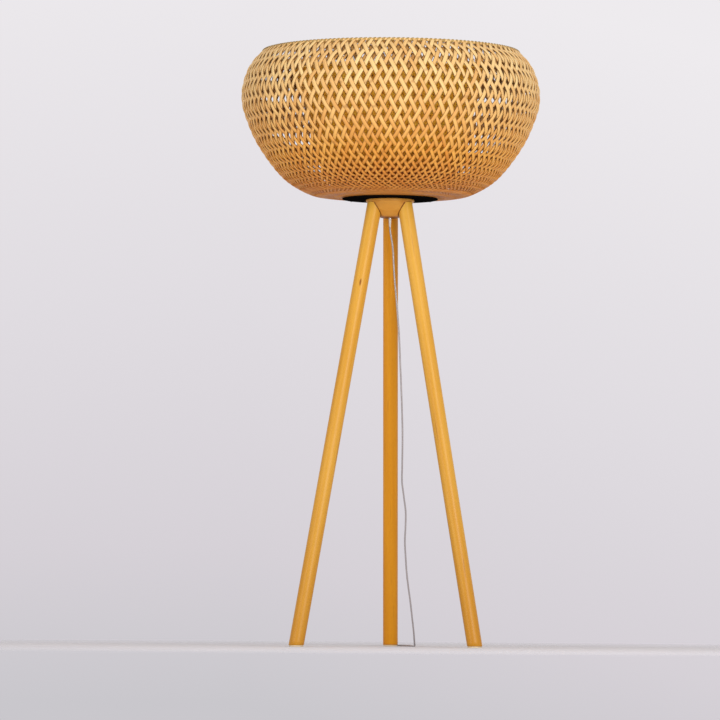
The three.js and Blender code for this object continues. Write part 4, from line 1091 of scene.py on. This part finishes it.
# %% Moulded bodies
def plan_outline(x, start, length, width, start_width, end_width, taper, steps=14):
    half, end, t = width / 2, start + length, np.linspace(0, 1, steps, endpoint=False)[:, None]
    corners = [
        [(-start_width / 2, start), (-half, start), (-half, start + taper)],
        [(-half, end - taper), (-half, end), (-end_width / 2, end)],
        [(end_width / 2, end), (half, end), (half, end - taper)],
        [(half, start + taper), (half, start), (start_width / 2, start)],
    ]
    return np.vstack([bend(*corner, t) for corner in corners]) + (x, 0)


def moulded_body(name, plan, levels):
    """Levels are (height, drawn in) pairs from the bottom up."""
    ahead = unit(np.roll(plan, -1, 0) - np.roll(plan, 1, 0))
    inward = np.stack([ahead[:, 1], -ahead[:, 0]], -1)
    rings = np.array([np.c_[plan + inward * drawn, np.full(len(plan), height)] for height, drawn in levels])
    faces = ring_faces(len(rings), len(plan), caps=True, flip=True)
    return piece_from(name, rings * mm, faces, clear_moulding, corner=40)


def round_levels(low, high, low_round, high_round, steps=5):
    """Levels of a body whose lower and upper edges are rounded."""
    a = np.linspace(0, math.pi / 2, steps)
    quarter = np.stack([1 - np.cos(a), 1 - np.sin(a)], -1)
    upper = (high, 0) + quarter * (-high_round, high_round)
    return np.vstack([(low, 0) + quarter * low_round, upper[::-1]])


def box_piece(name, width, length, low, high, x, y):
    plan = plan_outline(x, y - length / 2, length, width, width - 2, width - 2, 1, 4)
    return moulded_body(name, plan, [(low, 0), (high, 0)])


def post_piece(name, radius, low, high, x, y):
    outline = [(0, low), (radius, low), (radius, high), (0, high)]
    return turned(name, outline, 0, clear_moulding, 32, (x * mm, y * mm))


# %% [markdown]
# The hand switch is two shells that meet in a fine line, screwed together, with a black rocker in a well.

# %% Hand switch
switch_mid = switch_start + switch_length / 2
switch_plan = plan_outline(
    switch_x, switch_start, switch_length, width=26, start_width=12, end_width=12, taper=12.4
)
lower_shell = moulded_body("switch_lower_shell", switch_plan, round_levels(0, 8.9, 1.6, 0.3))
upper_shell = moulded_body("switch_upper_shell", switch_plan, round_levels(9.1, 18, 0.3, 3.2, 7))
screw_ys, screw_seat = [switch_start + 9, switch_start + switch_length - 9], 16.6
for shell in (lower_shell, upper_shell):
    cutters = [box_piece("well", 13.4, 21.4, 3, 30, switch_x, switch_mid)]
    cutters += [post_piece("recess", 2.5, screw_seat, 30, switch_x, y) for y in screw_ys]
    cutters += [post_piece("shaft", 1.6, 7, 17, switch_x, y) for y in screw_ys]
    cut_from(shell, cutters)
finish_piece(lower_shell, "clear_plastic", "switch_lower")
finish_piece(upper_shell, "clear_plastic", "switch_upper")
for i, y in enumerate(screw_ys, 1):
    seat = np.array([switch_x, y, screw_seat]) * mm
    piece = screw_piece(f"shell_screw_{i}", seat, 1, (2.2, 1.3, 1.3, 9), zinc)
    finish_piece(piece, "zinc_steel", f"switch_screw_{i}")
print("switch shells:", len(lower_shell.data.polygons), len(upper_shell.data.polygons), "faces")

# %% [markdown]
# The rocker tips about a pin under its middle. From the side its top is a shallow V, and it rests with the
# far end pressed down. Its side outline is drawn level, stretched across and then tipped.

# %% Rocker
rocker_tilt, pivot_height, rocker_half, rocker_top = math.radians(8), 13, 10, 6
tip = rocker_half - 1.2
crest = rocker_top + tip * math.tan(rocker_tilt)
belly = [((2 * s - 1) * rocker_half, -2.5 * (1 + math.sin(s * math.pi))) for s in np.linspace(0, 1, 15)]
side_outline = [(0, rocker_top), (-tip, crest), *belly, (tip, crest), (0, rocker_top)]
side_outline = rounded(side_outline, 1.0, 5)[:-1]
to_middle = unit(side_outline.mean(0) - side_outline)
layers = np.array([
    np.c_[np.full(len(side_outline), x), side_outline + to_middle * drawn]
    for x, drawn in ((-6.0, 0.7), (-5.8, 0.25), (-5.4, 0), (5.4, 0), (5.8, 0.25), (6.0, 0.7))
])
c, s = math.cos(-rocker_tilt), math.sin(-rocker_tilt)
rocker_points = layers @ [(1, 0, 0), (0, c, s), (0, -s, c)] + (switch_x, switch_mid, pivot_height)
rocker_faces = ring_faces(len(layers), len(side_outline), caps=True)
rocker_points = rocker_points * mm
rocker = piece_from("rocker_cap", rocker_points, rocker_faces, black_moulding, corner=35, mend=True)
finish_piece(rocker, "black_plastic", "switch_rocker", body="rocker")

# %% [markdown]
# The hank is held by a soft hook-and-loop band, rounded where it goes round the bundle. The plug lies on top:
# a moulded body with grip grooves and two flat brass blades.
# Grooves could be painted on. These are cut, because they break the body's outline.

# %% Band and plug
band_half, band_low, band_high = 13.84, 0.5, 27.25
band_line = [(0, band_low), (band_half, band_low), (band_half, band_high), (-band_half, band_high)]
band_line = rounded([*band_line, (-band_half, band_low), (0.01, band_low)], 6, 9)
band_section = [(-5.0, -0.35), (-4.7, 0.45), (4.7, 0.45), (5.0, -0.35), (4.6, -0.5), (-4.6, -0.5)]
along, out = np.array(band_section).T
band_ahead = unit(np.gradient(band_line, axis=0))
band_x = hank_x + band_line[:, :1] + band_ahead[:, 1:] * out
band_z = band_line[:, 1:] - band_ahead[:, :1] * out
band_points = np.stack(np.broadcast_arrays(band_x, hank_middle + along, band_z), -1) * mm
band_faces = ring_faces(len(band_line), len(band_section), caps=True)
band = piece_from("hank_band", band_points, band_faces, black_moulding, corner=50)
finish_piece(band, "black_plastic", "hank_tie")
plug_start, plug_length = 530.1, 34
plug_plan = plan_outline(
    switch_x, plug_start, plug_length, width=24, start_width=15, end_width=22, taper=11.4, steps=20
)
plug = moulded_body("plug_moulding", plug_plan, round_levels(23.7, 38.7, 2.4, 2.4, 6))
cutters = [box_piece("slot", 2.1, 40, 27.7, 34.7, switch_x + x, plug_start + 47) for x in (-6.35, 6.35)]
groove_ys = plug_start + 13.5 + np.arange(5) * 2.6
cutters += [box_piece("groove", 1.3, 1.3, 20, 42, switch_x + x, y) for x in (-12, 12) for y in groove_ys]
cut_from(plug, cutters)
finish_piece(plug, "clear_plastic", "plug_body")
print(f"plug: {len(plug.data.polygons)} faces")

# %% [markdown]
# What is left of the frame's own solids has the right shape already: studs, tube, washers, nuts, brass parts
# and the lead inside the tube. They only need their finish.

# %% Finishes on the frame's own solids
own_finishes = {
    "leg_stud_front_right leg_stud_back leg_stud_front_left threaded_tube": zinc,
    "washer_lower nut_lower washer_upper nut_upper": zinc,
    "thread_sleeve bulb_cap plug_blade_left plug_blade_right": brass,
    "contact_insert": white_moulding,
    "inner_lead": clear_vinyl,
}
for node_names, finish in own_finishes.items():
    for node_name in node_names.split():
        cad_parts[node_name].material_slots[0].material = finish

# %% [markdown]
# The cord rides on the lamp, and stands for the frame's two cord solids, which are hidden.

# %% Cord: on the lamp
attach(cord, "lamp")
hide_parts("cord_drop", "cord_hank")

# %% [markdown]
# The lamp stands on a pale floor that fades out, so no edge shows, and from below it lets the lamp be seen.
# A wall close behind would give a shadow that the picture doesn't have. The room's tone is the world's colour
# instead.

# %% Floor
floor_sides, floor_radii = 96, np.r_[0.02, np.linspace(0.12, 2.6, 40)]
floor_points = round_axis(full_turn(floor_sides), floor_radii[:, None])
floor_faces = ring_faces(len(floor_radii), floor_sides, flip=True) + [list(range(floor_sides))]
floor_paint = bpy.data.materials.new("floor_paint")
floor_paint.use_nodes = True
tree = floor_paint.node_tree
shader = tree.nodes["Principled BSDF"].inputs
place = node(tree, "TexCoord", out="Object")
mottle = between(noise(place, scale=3.0), 0.3, 0.7)
wire(shader["Base Color"], mixed(mottle, srgb(212, 208, 212), srgb(207, 203, 208)))
wire(shader["Roughness"], 0.8)
solid = between(vector_maths("LENGTH", place, out="Value"), 0.9, 2.5, 1.0, 0.0)
facing = node(tree, "NewGeometry", out="Backfacing")
wire(shader["Alpha"], times(solid, maths("SUBTRACT", 1.0, facing)))
floor = piece_from("studio_floor", floor_points, floor_faces, floor_paint)
floor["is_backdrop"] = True

# %% [markdown]
# The world does two jobs. To the camera, and in gloss and glass, it is the pale backdrop. To everything else
# it is soft fill light.

# %% World
scene.view_settings.view_transform = "Standard"
world = bpy.data.worlds.new("studio")
scene.world = world
world.use_nodes = True
tree = world.node_tree
parts = node(tree, "SeparateXYZ", node(tree, "TexCoord", out="Generated")).node.outputs
aside = between(parts["X"], -0.06, 0.06, -0.08, 0.14)
ramp = node(tree, "ValToRGB", plus(between(parts["Z"], -0.03, 0.12), aside))
tones = ramp.node.color_ramp.elements
tones[0].color, tones[1].color = srgb(201, 199, 204), srgb(238, 235, 238)
for position, colour in ((0.2, srgb(214, 209, 215)), (0.5, srgb(224, 220, 225))):
    tones.new(position).color = colour
backdrop = tree.nodes["Background"]
wire(backdrop.inputs["Color"], ramp)
fill = node(tree, "Background", (1.0, 0.985, 0.97, 1), 0.68)
path = node(tree, "LightPath").node.outputs
seen_by = maths("MAXIMUM", path["Is Camera Ray"], path["Is Glossy Ray"])
seen_by = maths("MAXIMUM", seen_by, path["Is Transmission Ray"])
either = node(tree, "MixShader", seen_by, fill, backdrop.outputs[0])
wire(tree.nodes["World Output"].inputs["Surface"], either)

# %% [markdown]
# One broad soft light stands in front, a little to the right, as the brighter right sides of the poles
# show. A second hangs over the open bowl, and a weak one fills in from the left.

# %% Lights
def soft_light(name, place, aim_height, size, watts):
    data = bpy.data.lights.new(name, "AREA")
    data.shape, data.size, data.energy, data.color = "DISK", size, watts, (1.0, 0.98, 0.95)
    light = bpy.data.objects.new(name, data)
    light.location = place
    toward = Vector((0, 0, aim_height)) - Vector(place)
    light.rotation_euler = toward.to_track_quat("-Z", "Y").to_euler()
    light.visible_camera = False
    scene.collection.objects.link(light)


soft_light("key", (1.8, -4.1, 1.4), 1.0, 2.0, 118)
soft_light("top", (0.2, -0.6, 4.4), 1.2, 2.2, 10)
soft_light("fill", (-3.0, -3.2, 0.9), 1.0, 2.2, 48)

# %% [markdown]
# Last, both boxes are printed side by side, because dressing must not change the lamp's size.

# %% Sizes
dressed_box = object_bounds()
for label, box in (("solids", cad_box), ("dressed", dressed_box)):
    print(label, [round(float(high) - float(low), 4) for low, high in zip(*box)])
